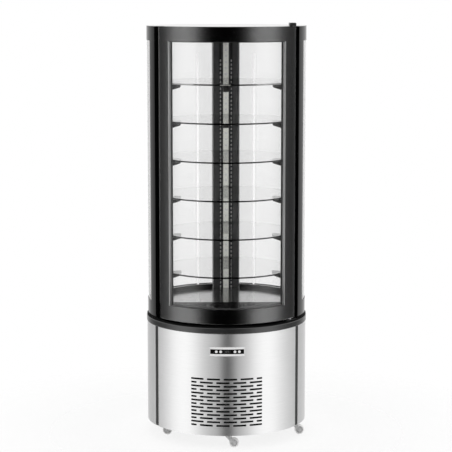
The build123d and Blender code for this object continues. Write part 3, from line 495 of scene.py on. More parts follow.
# Near-black coil fins: a black coating, made darker still as painted shade inside the base behind the vents.
SHADED = Finish("fins", grey(0.03), grey(0.02), 0.0, (0.5, 0.65), 300.0, relief=0.00002, name="dark_fins")
# Near-black sheet behind the vents: painted shade inside the base.
VENT_SHADE = Finish("fins", grey(0.006), grey(0.003), 0.0, (0.6, 0.75), 700.0, relief=0.00006, ior=1.15, name="filter_mat")
ZINC = Finish("zinc", grey(0.72, 0.006), grey(0.62, 0.006), 1.0, (0.26, 0.38), 240.0)
FINS = Finish("fins", grey(0.7), grey(0.6), 1.0, (0.35, 0.5), 300.0, relief=0.00002)
COPPER = Finish(
    "copper_pipe", (0.86, 0.42, 0.26, 1.0), (0.7, 0.3, 0.18, 1.0), 1.0, (0.22, 0.38), 160.0
)
HUB = Finish("pale_plastic", grey(0.62), grey(0.5), 0.0, (0.35, 0.45), 500.0, relief=0.00002, name="castor_hub")
TYRE = Finish("castor_tyre", grey(0.9, 0.006), grey(0.82, 0.006), 0.0, (0.45, 0.6), 500.0, relief=0.00004)


def dress(piece: bpy.types.Object, finish: Finish, body: str, *nodes: str) -> bpy.types.Object:
    """Give a piece its finish and body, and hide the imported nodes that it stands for.

    Args:
        piece: The finished object.
        finish: Its surface.
        body: The body that it moves with.
        nodes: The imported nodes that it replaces.

    Returns:
        The piece.
    """
    piece.data.materials.clear()
    piece.data.materials.append(finish.material())
    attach(piece, body)
    if nodes:
        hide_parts(*nodes)
    LOG.info("%s: %d faces on %s", piece.name, len(piece.data.polygons), body)
    return piece


def keep(node: str, finish: Finish) -> None:
    """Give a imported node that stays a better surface."""
    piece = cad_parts[node]
    piece.data.materials.clear()
    piece.data.materials.append(finish.material())
    LOG.info("%s: packed shape kept", node)


class Pattern:
    """A Geometry Nodes tree with named sizes as its inputs."""

    def __init__(self, name: str, sizes: Sequence[str]) -> None:
        """Make the tree's interface.

        Args:
            name: The tree's name.
            sizes: The names of its number inputs.
        """
        self.tree = bpy.data.node_groups.new(name, "GeometryNodeTree")
        self.tree.interface.new_socket("Geometry", in_out="INPUT", socket_type="NodeSocketGeometry")
        for size in sizes:
            self.tree.interface.new_socket(size, in_out="INPUT", socket_type="NodeSocketFloat")
        self.tree.interface.new_socket("Geometry", in_out="OUTPUT", socket_type="NodeSocketGeometry")
        self.graph = Graph(self.tree)
        self.size = self.graph.add("NodeGroupInput").outputs

    def end(self, geometry: bpy.types.NodeSocket, finish: Finish) -> "Pattern":
        """Realise the copies, give them their surface and send them out."""
        real = self.graph.add("GeometryNodeRealizeInstances", {0: geometry})
        painted = self.graph.add(
            "GeometryNodeSetMaterial", {"Geometry": real.outputs[0], "Material": finish.material()}
        )
        self.graph.add("NodeGroupOutput", {"Geometry": painted.outputs[0]})
        return self

    def run(self, piece: bpy.types.Object, **sizes: float) -> bpy.types.Object:
        """Apply the tree to a piece and keep the result as its plain mesh.

        Args:
            piece: The object, linked to the scene.
            sizes: The inputs by name, with underscores for blanks.

        Returns:
            The same object.
        """
        modifier = piece.modifiers.new(self.tree.name, "NODES")
        modifier.node_group = self.tree
        for item in self.tree.interface.items_tree:
            key = item.name.lower().replace(" ", "_")
            if item.in_out == "INPUT" and key in sizes:
                modifier[item.identifier] = float(sizes[key])
        return settle(piece)

    def cutter(self, length, height, depth, corner) -> bpy.types.NodeSocket:
        """Slot cutter with its length along X, its height along Z and round corners.

        Args:
            length: The slot's length.
            height: The slot's height.
            depth: How deep the cutter reaches along Y, half to each side.
            corner: The corners' radius.

        Returns:
            The cutter's geometry.
        """
        graph = self.graph
        outline = graph.add(
            "GeometryNodeCurvePrimitiveQuadrilateral", {"Width": length, "Height": height}
        ).outputs[0]
        rounded = graph.add(
            "GeometryNodeFilletCurve",
            {"Curve": outline, "Count": 3, "Radius": corner, "Limit Radius": True},
            mode="POLY",
        ).outputs[0]
        face = graph.add("GeometryNodeFillCurve", {"Curve": rounded}, mode="NGONS").outputs[0]
        upwards = graph.add("FunctionNodeInputVector", vector=(0.0, 0.0, 1.0)).outputs[0]
        pushed = graph.add(
            "GeometryNodeExtrudeMesh",
            {"Mesh": face, "Offset": upwards, "Offset Scale": depth, "Individual": False},
            mode="FACES",
        ).outputs[0]
        bottom = graph.add("GeometryNodeFlipFaces", {"Mesh": face}).outputs[0]
        joined = graph.add("GeometryNodeJoinGeometry")
        for part in (pushed, bottom):
            graph.tree.links.new(part, joined.inputs[0])
        welded = graph.add(
            "GeometryNodeMergeByDistance", {"Geometry": joined.outputs[0], "Distance": WELD}
        ).outputs[0]
        back = graph.add("ShaderNodeCombineXYZ", {"Y": graph.math("MULTIPLY", depth, 0.5)}).outputs[0]
        return graph.add(
            "GeometryNodeTransform",
            {"Geometry": welded, "Translation": back, "Rotation": (QUARTER, 0.0, 0.0)},
        ).outputs[0]

    def cut(self, cutters: bpy.types.NodeSocket) -> bpy.types.NodeSocket:
        """Incoming geometry with the cutters' room taken out."""
        real = self.graph.add("GeometryNodeRealizeInstances", {0: cutters}).outputs[0]
        return self.graph.add(
            "GeometryNodeMeshBoolean",
            {"Mesh 1": self.size["Geometry"], "Mesh 2": real},
            operation="DIFFERENCE",
            solver="EXACT",
        ).outputs[0]


def curved_slots(finish: Finish) -> Pattern:
    """Rows of slots cut through a sheet that curves about the case's axis.

    Args:
        finish: The sheet's surface.

    Returns:
        The tree.
    """
    pattern = Pattern(
        "curved_slots",
        (
            "Rows", "Columns", "Slot length", "Slot height", "Slot pitch", "Row pitch",
            "First level", "Row shift", "Middle angle", "Sheet radius", "Cut depth",
        ),
    )
    graph, size = pattern.graph, pattern.size
    index = graph.add("GeometryNodeInputIndex").outputs[0]
    row = graph.math("FLOOR", graph.math("DIVIDE", index, size["Columns"]))
    column = graph.math("SUBTRACT", index, graph.math("MULTIPLY", row, size["Columns"]))
    turned = graph.math("SUBTRACT", 1.0, graph.math("MULTIPLY", graph.math("MODULO", row, 2.0), 2.0))
    middle = graph.math("MULTIPLY", graph.math("SUBTRACT", size["Columns"], 1.0), 0.5)
    along = graph.math("MULTIPLY", graph.math("SUBTRACT", column, middle), size["Slot pitch"])
    along = graph.math("ADD", along, graph.math("MULTIPLY", size["Row shift"], turned))
    angle = graph.math("ADD", graph.math("DIVIDE", along, size["Sheet radius"]), size["Middle angle"])
    x = graph.math("MULTIPLY", size["Sheet radius"], graph.math("SINE", angle))
    y = graph.math("MULTIPLY", size["Sheet radius"], graph.math("COSINE", angle))
    level = graph.math("ADD", size["First level"], graph.math("MULTIPLY", row, size["Row pitch"]))
    spot = graph.add("ShaderNodeCombineXYZ", {0: x, 1: graph.math("MULTIPLY", y, -1.0), 2: level}).outputs[0]
    count = graph.math("MULTIPLY", size["Rows"], size["Columns"])
    line = graph.add("GeometryNodeMeshLine", {"Count": count}).outputs[0]
    points = graph.add("GeometryNodeSetPosition", {"Geometry": line, "Position": spot}).outputs[0]
    cutter = pattern.cutter(
        size["Slot length"], size["Slot height"], size["Cut depth"],
        graph.math("MULTIPLY", size["Slot height"], 0.3),
    )
    turn = graph.add("ShaderNodeCombineXYZ", {2: angle}).outputs[0]
    copies = graph.add(
        "GeometryNodeInstanceOnPoints", {"Points": points, "Instance": cutter, "Rotation": turn}
    ).outputs[0]
    return pattern.end(pattern.cut(copies), finish)


def flat_slots(name: str, finish: Finish) -> Pattern:
    """Grid of slots cut through a flat sheet, upright or tipped over to lie flat.

    Args:
        name: The tree's name.
        finish: The sheet's surface.

    Returns:
        The tree.
    """
    pattern = Pattern(
        name,
        (
            "Rows", "Columns", "Slot length", "Slot height", "Column pitch", "Row pitch",
            "Middle y", "Middle z", "Tip", "Cut depth",
        ),
    )
    graph, size = pattern.graph, pattern.size
    across = graph.math("MULTIPLY", graph.math("SUBTRACT", size["Columns"], 1.0), size["Column pitch"])
    upwards = graph.math("MULTIPLY", graph.math("SUBTRACT", size["Rows"], 1.0), size["Row pitch"])
    grid = graph.add(
        "GeometryNodeMeshGrid",
        {"Size X": across, "Size Y": upwards, "Vertices X": size["Columns"], "Vertices Y": size["Rows"]},
    ).outputs[0]
    stood = graph.add("GeometryNodeTransform", {"Geometry": grid, "Rotation": (QUARTER, 0.0, 0.0)}).outputs[0]
    cutter = pattern.cutter(
        size["Slot length"], size["Slot height"], size["Cut depth"],
        graph.math("MULTIPLY", graph.math("MINIMUM", size["Slot length"], size["Slot height"]), 0.3),
    )
    copies = graph.add("GeometryNodeInstanceOnPoints", {"Points": stood, "Instance": cutter}).outputs[0]
    real = graph.add("GeometryNodeRealizeInstances", {0: copies}).outputs[0]
    middle = graph.add("ShaderNodeCombineXYZ", {1: size["Middle y"], 2: size["Middle z"]}).outputs[0]
    turn = graph.add("ShaderNodeCombineXYZ", {0: size["Tip"]}).outputs[0]
    placed = graph.add(
        "GeometryNodeTransform", {"Geometry": real, "Translation": middle, "Rotation": turn}
    ).outputs[0]
    return pattern.end(pattern.cut(placed), finish)


def block_row(name: str, finish: Finish) -> Pattern:
    """Row of equal small blocks at a steady pitch.

    Args:
        name: The tree's name.
        finish: The blocks' surface.

    Returns:
        The tree.
    """
    pattern = Pattern(
        name,
        ("Count", "Width", "Depth", "Height", "Pitch x", "Pitch z", "First x", "First y", "First z"),
    )
    graph, size = pattern.graph, pattern.size
    first = graph.add("ShaderNodeCombineXYZ", {0: size["First x"], 1: size["First y"], 2: size["First z"]})
    pitch = graph.add("ShaderNodeCombineXYZ", {0: size["Pitch x"], 2: size["Pitch z"]})
    line = graph.add(
        "GeometryNodeMeshLine",
        {"Count": size["Count"], "Start Location": first.outputs[0], "Offset": pitch.outputs[0]},
    ).outputs[0]
    block = graph.add("ShaderNodeCombineXYZ", {0: size["Width"], 1: size["Depth"], 2: size["Height"]})
    cube = graph.add("GeometryNodeMeshCube", {"Size": block.outputs[0]}).outputs[0]
    copies = graph.add("GeometryNodeInstanceOnPoints", {"Points": line, "Instance": cube}).outputs[0]
    return pattern.end(copies, finish)


def stacked(name: str, finish: Finish) -> Pattern:
    """Copies of a piece above each other at a steady pitch.

    Args:
        name: The tree's name.
        finish: The copies' surface.

    Returns:
        The tree.
    """
    pattern = Pattern(name, ("Count", "Pitch"))
    graph, size = pattern.graph, pattern.size
    pitch = graph.add("ShaderNodeCombineXYZ", {2: size["Pitch"]}).outputs[0]
    line = graph.add("GeometryNodeMeshLine", {"Count": size["Count"], "Offset": pitch}).outputs[0]
    copies = graph.add(
        "GeometryNodeInstanceOnPoints", {"Points": line, "Instance": size["Geometry"]}
    ).outputs[0]
    return pattern.end(copies, finish)


def bare(name: str) -> bpy.types.Object:
    """Empty object for a tree that makes its own geometry."""
    piece = bpy.data.objects.new(name, bpy.data.meshes.new(name))
    bpy.context.scene.collection.objects.link(piece)
    return piece


@dataclass
class Base:
    """Steel base: panels with their vents, seam posts, pan, inlet and screws."""

    sheet: float = 0.0015
    hem: float = 0.012
    pan_sheet: float = 0.002
    pan_rim: float = 0.022
    panel_half_angle: float = 58.1
    rear_angle: float = 62.1
    post_recess: float = 0.001
    post_depth: float = 0.015
    slot_length: float = 0.055
    slot_height: float = 0.0076
    web: float = 0.0145
    end_slot: float = 0.0245
    vent_turn: float = -0.35
    full_slots: int = 4
    rows: int = 14
    row_pitch: float = 0.015
    first_slot: float = 0.0967
    rear_rows: int = 8
    rear_row_pitch: float = 0.020
    rear_first: float = 0.180
    inlet_angle: float = 152.0
    control_width: float = 0.139
    control_height: float = 0.0195
    screw_angle: float = 128.0
    screw_rows: int = 3
    screw_margin: float = 0.040
    filter_sheet: float = 0.002
    filter_margin: float = 0.008
    step: float = 0.5

    def __post_init__(self) -> None:
        """Read the base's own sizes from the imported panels."""
        self.radius = -low("front_panel").y
        self.bottom = low("front_panel").z
        self.top = high("front_panel").z
        self.control_level = (low("controller_bezel").z + high("controller_bezel").z) / 2

    def vents(self, panel: bpy.types.Object) -> bpy.types.Object:
        """Cut the front panel's rows, each turned end for end against its neighbours."""
        row_length = self.full_slots * (self.slot_length + self.web) + self.end_slot
        tree = curved_slots(BRUSHED)
        same = {
            "rows": self.rows,
            "slot_height": self.slot_height,
            "slot_pitch": self.slot_length + self.web,
            "row_pitch": self.row_pitch,
            "first_level": self.first_slot + self.slot_height / 2,
            "middle_angle": math.radians(self.vent_turn),
            "sheet_radius": self.radius,
            "cut_depth": 2 * self.hem,
        }
        shift = (self.web + self.end_slot) / 2
        tree.run(panel, columns=self.full_slots, slot_length=self.slot_length, row_shift=shift, **same)
        shift = (self.end_slot - row_length) / 2
        return tree.run(panel, columns=1, slot_length=self.end_slot, row_shift=shift, **same)

    def front(self) -> None:
        """Front panel with its hems, its vents and the controller's window."""
        inner = self.radius - self.sheet
        hem_angle = arc_angle(self.sheet, self.radius)
        edge = self.panel_half_angle
        window = arc_angle(self.control_width, self.radius) / 2
        angles = stations(-edge, hem_angle - edge, -window, window, edge - hem_angle, edge, step=self.step)
        levels = (
            self.bottom,
            self.bottom + self.pan_sheet + self.pan_rim,
            self.control_level - self.control_height / 2,
            self.control_level + self.control_height / 2,
            self.top - self.sheet,
            self.top,
        )

        def filled(angle: float, ring: int, tier: int) -> bool:
            """True for the sheet, its side hems and its top hem."""
            if ring == 1:
                return not (tier == 2 and abs(angle) < window)
            return tier == 4 or (tier > 0 and abs(angle) > edge - hem_angle)

        panel = Shell().rings(angles, (inner - self.hem, inner, self.radius), levels, filled)
        panel = self.vents(panel.build("front_panel_steel"))
        round_normals(panel)
        dress(panel, BRUSHED, "case", "front_panel")

    def filter(self) -> None:
        """Near-black sheet on the inside of the front panel, behind the vents: painted shade that makes the slots read
        dark.
        """
        outer = self.radius - self.sheet - SEAT_GAP
        length = self.full_slots * (self.slot_length + self.web) + self.end_slot
        half = arc_angle(length / 2 + self.filter_margin, self.radius)
        top = self.first_slot + (self.rows - 1) * self.row_pitch + self.slot_height + self.filter_margin
        levels = (self.first_slot - self.filter_margin, top)
        shade_sheet = Shell().rings(stations(-half, half), (outer - self.filter_sheet, outer), levels)
        dress(shade_sheet.build("vent_filter_mat"), VENT_SHADE, "case")

    def rear(self) -> None:
        """Rear panel with its outlet slots and the inlet's opening."""
        inlet_low, inlet_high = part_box("mains_inlet")
        half = arc_angle(0.0238, self.radius)
        rise = 0.0138
        middle = (inlet_low.z + inlet_high.z) / 2
        angles = stations(
            self.rear_angle, self.inlet_angle - half, self.inlet_angle + half,
            FULL_TURN - self.rear_angle, step=self.step,
        )
        levels = (self.bottom, middle - rise, middle + rise, self.top)

        def filled(angle: float, ring: int, tier: int) -> bool:
            """True outside the inlet's opening."""
            return not (tier == 1 and abs(angle - self.inlet_angle) < half)

        panel = Shell().rings(angles, (self.radius - self.sheet, self.radius), levels, filled)
        panel = curved_slots(BRUSHED).run(
            panel.build("rear_panel_steel"),
            rows=self.rear_rows,
            columns=self.full_slots,
            slot_length=self.slot_length,
            slot_height=self.slot_height,
            slot_pitch=self.slot_length + self.web,
            row_pitch=self.rear_row_pitch,
            first_level=self.rear_first + self.slot_height / 2,
            middle_angle=math.pi,
            sheet_radius=self.radius,
            cut_depth=2 * self.hem,
        )
        round_normals(panel)
        dress(panel, BRUSHED, "case", "rear_panel")

    def posts(self) -> None:
        """Seam posts between the panels, and the two behind the rear panel."""
        gap = arc_angle(SEAT_GAP, self.radius)
        half = arc_angle(0.012, self.radius)
        outer = self.radius - self.post_recess
        behind = self.radius - self.sheet - SEAT_GAP
        spans = (
            (self.panel_half_angle + gap, self.rear_angle - gap, outer),
            (gap - self.rear_angle, -self.panel_half_angle - gap, outer),
            (self.screw_angle - half, self.screw_angle + half, behind),
            (-self.screw_angle - half, half - self.screw_angle, behind),
        )
        posts = Shell()
        for start, end, radius in spans:
            levels = (self.bottom + self.pan_sheet, self.top)
            posts.rings(stations(start, end), (radius - self.post_depth, radius), levels)
        dress(posts.build("seam_posts", bevel=0.0006), BLACK_METAL, "case", "base_posts")

    def screws(self) -> None:
        """Dome screws with a cross recess that hold the rear panel."""
        head = 0.0045
        rise = 0.0016
        screws = Shell()
        for side in (-1, 1):
            for row in range(self.screw_rows):
                pitch = (self.top - self.bottom - 2 * self.screw_margin) / (self.screw_rows - 1)
                level = self.bottom + self.screw_margin + row * pitch
                place = upright_place(side * self.screw_angle, self.radius, level)
                dome = [(head * math.cos(t), rise * math.sin(t)) for t in (0.0, 0.5, 0.9, 1.25)]
                dome = [(head, 0.0), *dome[1:], (head * 0.25, rise), (head * 0.2, rise * 0.5), (0.0, rise * 0.5)]
                screws.lathe([(0.0, 0.0), *dome], place, sides=24)
        dress(screws.build("panel_screws"), ZINC, "case", "rear_panel_screws")

    def make(self) -> None:
        """Build the base."""
        self.front()
        self.filter()
        self.rear()
        self.posts()
        self.screws()
        keep("base_pan", GALVANISED)
        keep("mains_inlet", BLACK_PLASTIC)


@dataclass
class Trim:
    """Dark ring between the base and the case, a folded channel with a round nose."""

    sheet: float = 0.0015
    nose: float = 0.003
    foot: float = 0.022
    shelf: float = 0.038
    step_drop: float = 0.0055
    step_reach: float = 0.007
    shadow_ring_inset: float = 0.0015
    shade_sheet: float = 0.0003
    shadow_sheet_angles: tuple[float, float] = (-61.5, 48.5)

    def make(self) -> None:
        """Build the ring."""
        radius = -low("trim_ring").y
        bottom, top = low("trim_ring").z, high("trim_ring").z
        riser = radius - self.step_reach
        turns = [math.radians(15 * number) for number in range(7)]
        section = [(radius - self.shelf, top), (radius - self.shelf, top - self.sheet)]
        inside = riser - self.sheet
        section += [(inside, top - self.sheet), (inside, top - self.step_drop - self.sheet)]
        section += [(radius - self.sheet, top - self.step_drop - self.sheet), (radius - self.sheet, bottom + self.sheet)]
        section += [(radius - self.foot, bottom + self.sheet), (radius - self.foot, bottom)]
        core = radius - self.nose
        section += [
            (core + self.nose * math.sin(t), bottom + self.nose - self.nose * math.cos(t)) for t in turns
        ]
        edge = top - self.step_drop - self.nose
        section += [(core + self.nose * math.cos(t), edge + self.nose * math.sin(t)) for t in turns]
        section += [(riser, top - self.step_drop), (riser, top)]
        ring = Shell().lathe(section, sides=360, looped=True)
        dress(ring.build("trim_ring_channel", bevel=0.0002, segments=1), TRIM, "case", "trim_ring")
        # Near-black ring on the trim's step and a thin near-black sheet under the door: painted shadow of the gap.
        inner, outer = riser + SEAT_GAP, radius - self.shadow_ring_inset
        under, over = top - self.step_drop + SEAT_GAP / 3, top - SEAT_GAP / 3
        section = ((inner, under), (outer, under), (outer, over), (inner, over))
        gasket = Shell().lathe(section, sides=360, looped=True)
        sill = high("deck_plate").x + SEAT_GAP
        gasket.rings(stations(*self.shadow_sheet_angles), (sill, riser), (top, top + self.shade_sheet))
        dress(gasket.build("trim_gasket"), SHADOW_BLACK, "case")


@dataclass
class Deck:
    """Bright deck plate, and the slotted black sill before it."""

    slot_rows: int = 3
    slot_columns: int = 4
    slot_length: float = 0.066
    slot_width: float = 0.005
    slot_pitch: float = 0.078
    row_pitch: float = 0.018
    row_place: float = 0.062
    sheet: float = 0.002

    def outline(self, radius: float, chord: float, front: bool) -> list[Vector]:
        """Plan of a disc cut along a line across it, on one side of the line."""
        edge = math.degrees(math.acos(-chord / radius))
        angles = stations(-edge, edge) if front else stations(edge, FULL_TURN - edge)
        return [polar(angle, radius, 0.0) for angle in angles]

    def make(self) -> None:
        """Build the plate and the sill."""
        radius = high("deck_plate").x
        line = low("deck_plate").y
        bottom, top = low("deck_plate").z, high("deck_plate").z
        plate = [
            [point + Vector((0, 0, level)) for point in self.outline(radius, line, front=False)]
            for level in (bottom, top)
        ]
        dress(Shell().loft(plate).build("deck_plate_steel", bevel=0.0004), DECK, "case", "deck_plate")
        keep("deck_tub", LINER)

        sill_line = high("front_air_sill").y
        sill_top = high("front_air_sill").z
        outer = self.outline(radius, sill_line, front=True)
        inner = self.outline(radius - self.sheet, sill_line - self.sheet, front=True)
        count = len(outer)
        inner = [inner[round(number * (len(inner) - 1) / (count - 1))] for number in range(count)]
        loops = [
            [point + Vector((0, 0, level)) for point in plan]
            for plan, level in ((inner, sill_top - self.sheet), (inner, bottom), (outer, bottom), (outer, sill_top))
        ]
        sill = Shell().loft(loops).build("air_sill")
        sill = flat_slots("sill_slots", SILL).run(
            sill,
            rows=self.slot_rows,
            columns=self.slot_columns,
            slot_length=self.slot_length,
            slot_height=self.slot_width,
            column_pitch=self.slot_pitch,
            row_pitch=self.row_pitch,
            middle_y=sill_line - self.row_place,
            middle_z=sill_top,
            tip=-QUARTER,
            cut_depth=4 * self.sheet,
        )
        sill.data.set_sharp_from_angle(angle=SHARP_ANGLE)
        dress(sill, SILL, "case", "front_air_sill")


@dataclass
class Column:
    """Black rear column with its slotted shelf uprights and the light strip."""

    upright_x: float = 0.024
    upright_width: float = 0.010
    upright_sheet: float = 0.003
    slot_width: float = 0.005
    slot_height: float = 0.011
    slots_per_shelf: int = 9
    slot_margin: float = 0.055
    liner: float = 0.0004
    light_width: float = 0.024
    chip_pitch: float = 0.026
    chip_size: float = 0.008

    def __post_init__(self) -> None:
        """Read the slots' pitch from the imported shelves, and the levels from the deck and the cap."""
        self.slot_pitch = (low("shelf_2").z - low("shelf_1").z) / self.slots_per_shelf
        self.foot = high("deck_plate").z + SEAT_GAP
        self.head = low("top_cap").z - SEAT_GAP

    def duct(self) -> None:
        """Folded duct with round corners and the case's curve at its back."""
        lowest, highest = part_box("rear_column")
        radius = high("lower_rails").x
        edge = math.degrees(math.asin(highest.x / radius))
        back = [polar(angle, radius, 0.0) for angle in stations(HALF_TURN - edge, HALF_TURN + edge)]
        plan = [Vector((lowest.x, lowest.y, 0)), Vector((highest.x, lowest.y, 0)), *back]
        loops = [[point + Vector((0, 0, level)) for point in plan] for level in (lowest.z, highest.z)]
        dress(Shell().loft(loops).build("column_duct", bevel=0.0015), COLUMN, "case", "rear_column")

    def uprights(self) -> None:
        """Two slotted rails for the shelf brackets, over a bright liner that shows in the slots."""
        lowest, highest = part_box("shelf_uprights")
        rails, liner = Shell(), Shell()
        for side in (-1, 1):
            x = side * self.upright_x
            half = Vector((self.upright_width / 2, 0, 0))
            slim = Vector((self.slot_width, 0, 0))
            back = Vector((x, highest.y, self.head))
            behind = highest.y - self.liner
            rails.block(Vector((x, lowest.y, self.foot)) - half, Vector((x, behind, self.head)) + half)
            liner.block(Vector((x, behind, self.foot)) - slim, back + slim)
        bracket_top = low("shelf_1").z
        first = bracket_top - 0.009
        below = int((first - self.foot) / self.slot_pitch)
        above = int((self.head - self.slot_margin - bracket_top) / self.slot_pitch)
        count = below + above
        middle = first - below * self.slot_pitch + (count - 1) * self.slot_pitch / 2
        rails = flat_slots("upright_slots", BLACK_METAL).run(
            rails.build("upright_rails"),
            rows=count,
            columns=2,
            slot_length=self.slot_width,
            slot_height=self.slot_height,
            column_pitch=2 * self.upright_x,
            row_pitch=self.slot_pitch,
            middle_y=lowest.y,
            middle_z=middle,
            cut_depth=4 * self.upright_sheet,
        )
        rails.data.set_sharp_from_angle(angle=SHARP_ANGLE)
        dress(rails, BLACK_METAL, "case", "shelf_uprights")
        dress(liner.build("upright_liners"), PALE_PLASTIC, "case")

    def light(self) -> None:
        """Light strip: a frosted cover with its row of chips."""
        lowest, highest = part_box("light_strip")
        depth = highest.y - lowest.y
        front = lowest.y + SEAT_GAP
        turns = [math.radians(15 * number) for number in range(7)]
        corner = depth / 2 - SEAT_GAP
        half = self.light_width / 2
        plan = [Vector((half, highest.y, 0)), Vector((-half, highest.y, 0))]
        left, right = corner - half, half - corner
        plan += [Vector((left - corner * math.cos(t), front + corner - corner * math.sin(t), 0)) for t in turns]
        plan += [Vector((right + corner * math.sin(t), front + corner - corner * math.cos(t), 0)) for t in turns]
        loops = [[point + Vector((0, 0, level)) for point in plan] for level in (self.foot, self.head)]
        dress(Shell().loft(loops).build("light_cover", bevel=0.0003), DIFFUSER, "case", "light_strip")
        count = int((self.head - self.foot) / self.chip_pitch)
        chips = block_row("light_chips", CHIP).run(
            bare("light_chip_row"),
            count=count,
            width=self.chip_size,
            depth=SEAT_GAP,
            height=self.chip_size,
            pitch_z=self.chip_pitch,
            first_y=front - SEAT_GAP / 2,
            first_z=self.foot + self.chip_pitch / 2,
        )
        dress(chips, CHIP, "case")

    def make(self) -> None:
        """Build the column."""
        self.duct()
        self.uprights()
        self.light()


@dataclass
class Shelves:
    """Six loose round glass shelves with ground edges."""

    count: int = 6
    edge: float = 0.001
    side_angle: float = 66.0
    side_sheet: float = 0.006
    side_root: float = 0.2837
    side_tip: float = 0.2095
    side_heights: tuple[float, float] = (0.035, 0.0170)
    rear_width: float = 0.0236
    rear_tip: float = 0.224
    rear_heights: tuple[float, float] = (0.057, 0.012)
    bar_length: float = 0.058
    bar: float = 0.006
    hook: tuple[float, float, float] = (0.003, 0.0047, 0.008)
    hook_place: float = 0.024
    hook_drop: float = 0.009

    def wedge(self, corners: Profile, heading: Vector, across: Vector, width: float, shell: Shell) -> None:
        """Add an upright plate across its width.

        Args:
            corners: The plate's outline as reach and level.
            heading: The direction of its reach.
            across: The direction of its width.
            width: How thick it is.
            shell: The shell that it is added to.
        """
        up = Vector((0, 0, 1))
        outline = [heading * reach + up * level for reach, level in corners]
        shell.loft([[point + across * side * width / 2 for point in outline] for side in (-1, 1)])

    def brackets(self) -> None:
        """Black brackets at the pillars and the column: one level, copied to every shelf."""
        top = low("shelf_1").z
        pitch = low("shelf_2").z - top
        face = low("light_strip").y
        nick = 0.004
        shell = Shell()
        root, tip = self.side_heights
        outline = (
            (self.side_tip, top), (self.side_root, top), (self.side_root, top - root),
            (self.side_tip + nick, top - tip), (self.side_tip, top - tip + nick),
        )
        for side in (-1, 1):
            heading = polar(side * self.side_angle, 1.0, 0.0)
            self.wedge(outline, heading, Vector((-heading.y, heading.x, 0)), self.side_sheet, shell)
        root, tip = self.rear_heights
        outline = (
            (self.rear_tip, top), (face, top), (face, top - root),
            (face - nick, top - root), (self.rear_tip, top - tip),
        )
        self.wedge(outline, Vector((0, 1, 0)), Vector((1, 0, 0)), self.rear_width, shell)
        level = top - self.hook_drop
        half = Vector((self.bar_length / 2, self.bar / 2, self.bar / 2))
        middle = Vector((0, face - self.bar / 2, level))
        shell.block(middle - half, middle + half)
        width, reach, height = self.hook
        for side in (-1, 1):
            half = Vector((width / 2, reach / 2, height / 2))
            middle = Vector((side * self.hook_place, face + reach / 2, level))
            shell.block(middle - half, middle + half)
        piece = shell.build("bracket_set", bevel=0.0008)
        stacked("bracket_levels", BRACKET).run(piece, count=self.count, pitch=pitch)
        piece.data.set_sharp_from_angle(angle=SHARP_ANGLE)
        dress(piece, BRACKET, "case", "shelf_brackets")

    def make(self) -> None:
        """Build the shelves."""
        self.brackets()
        for number in range(1, self.count + 1):
            node = f"shelf_{number}"
            lowest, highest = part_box(node)
            radius = highest.x
            profile = [
                (0.0, lowest.z),
                (radius - self.edge, lowest.z),
                (radius, lowest.z + self.edge),
                (radius, highest.z - self.edge),
                (radius - self.edge, highest.z),
                (0.0, highest.z),
            ]
            glass = Shell().lathe(profile, sides=240).build(f"{node}_glass")
            dress(glass, GLASS, node, node)


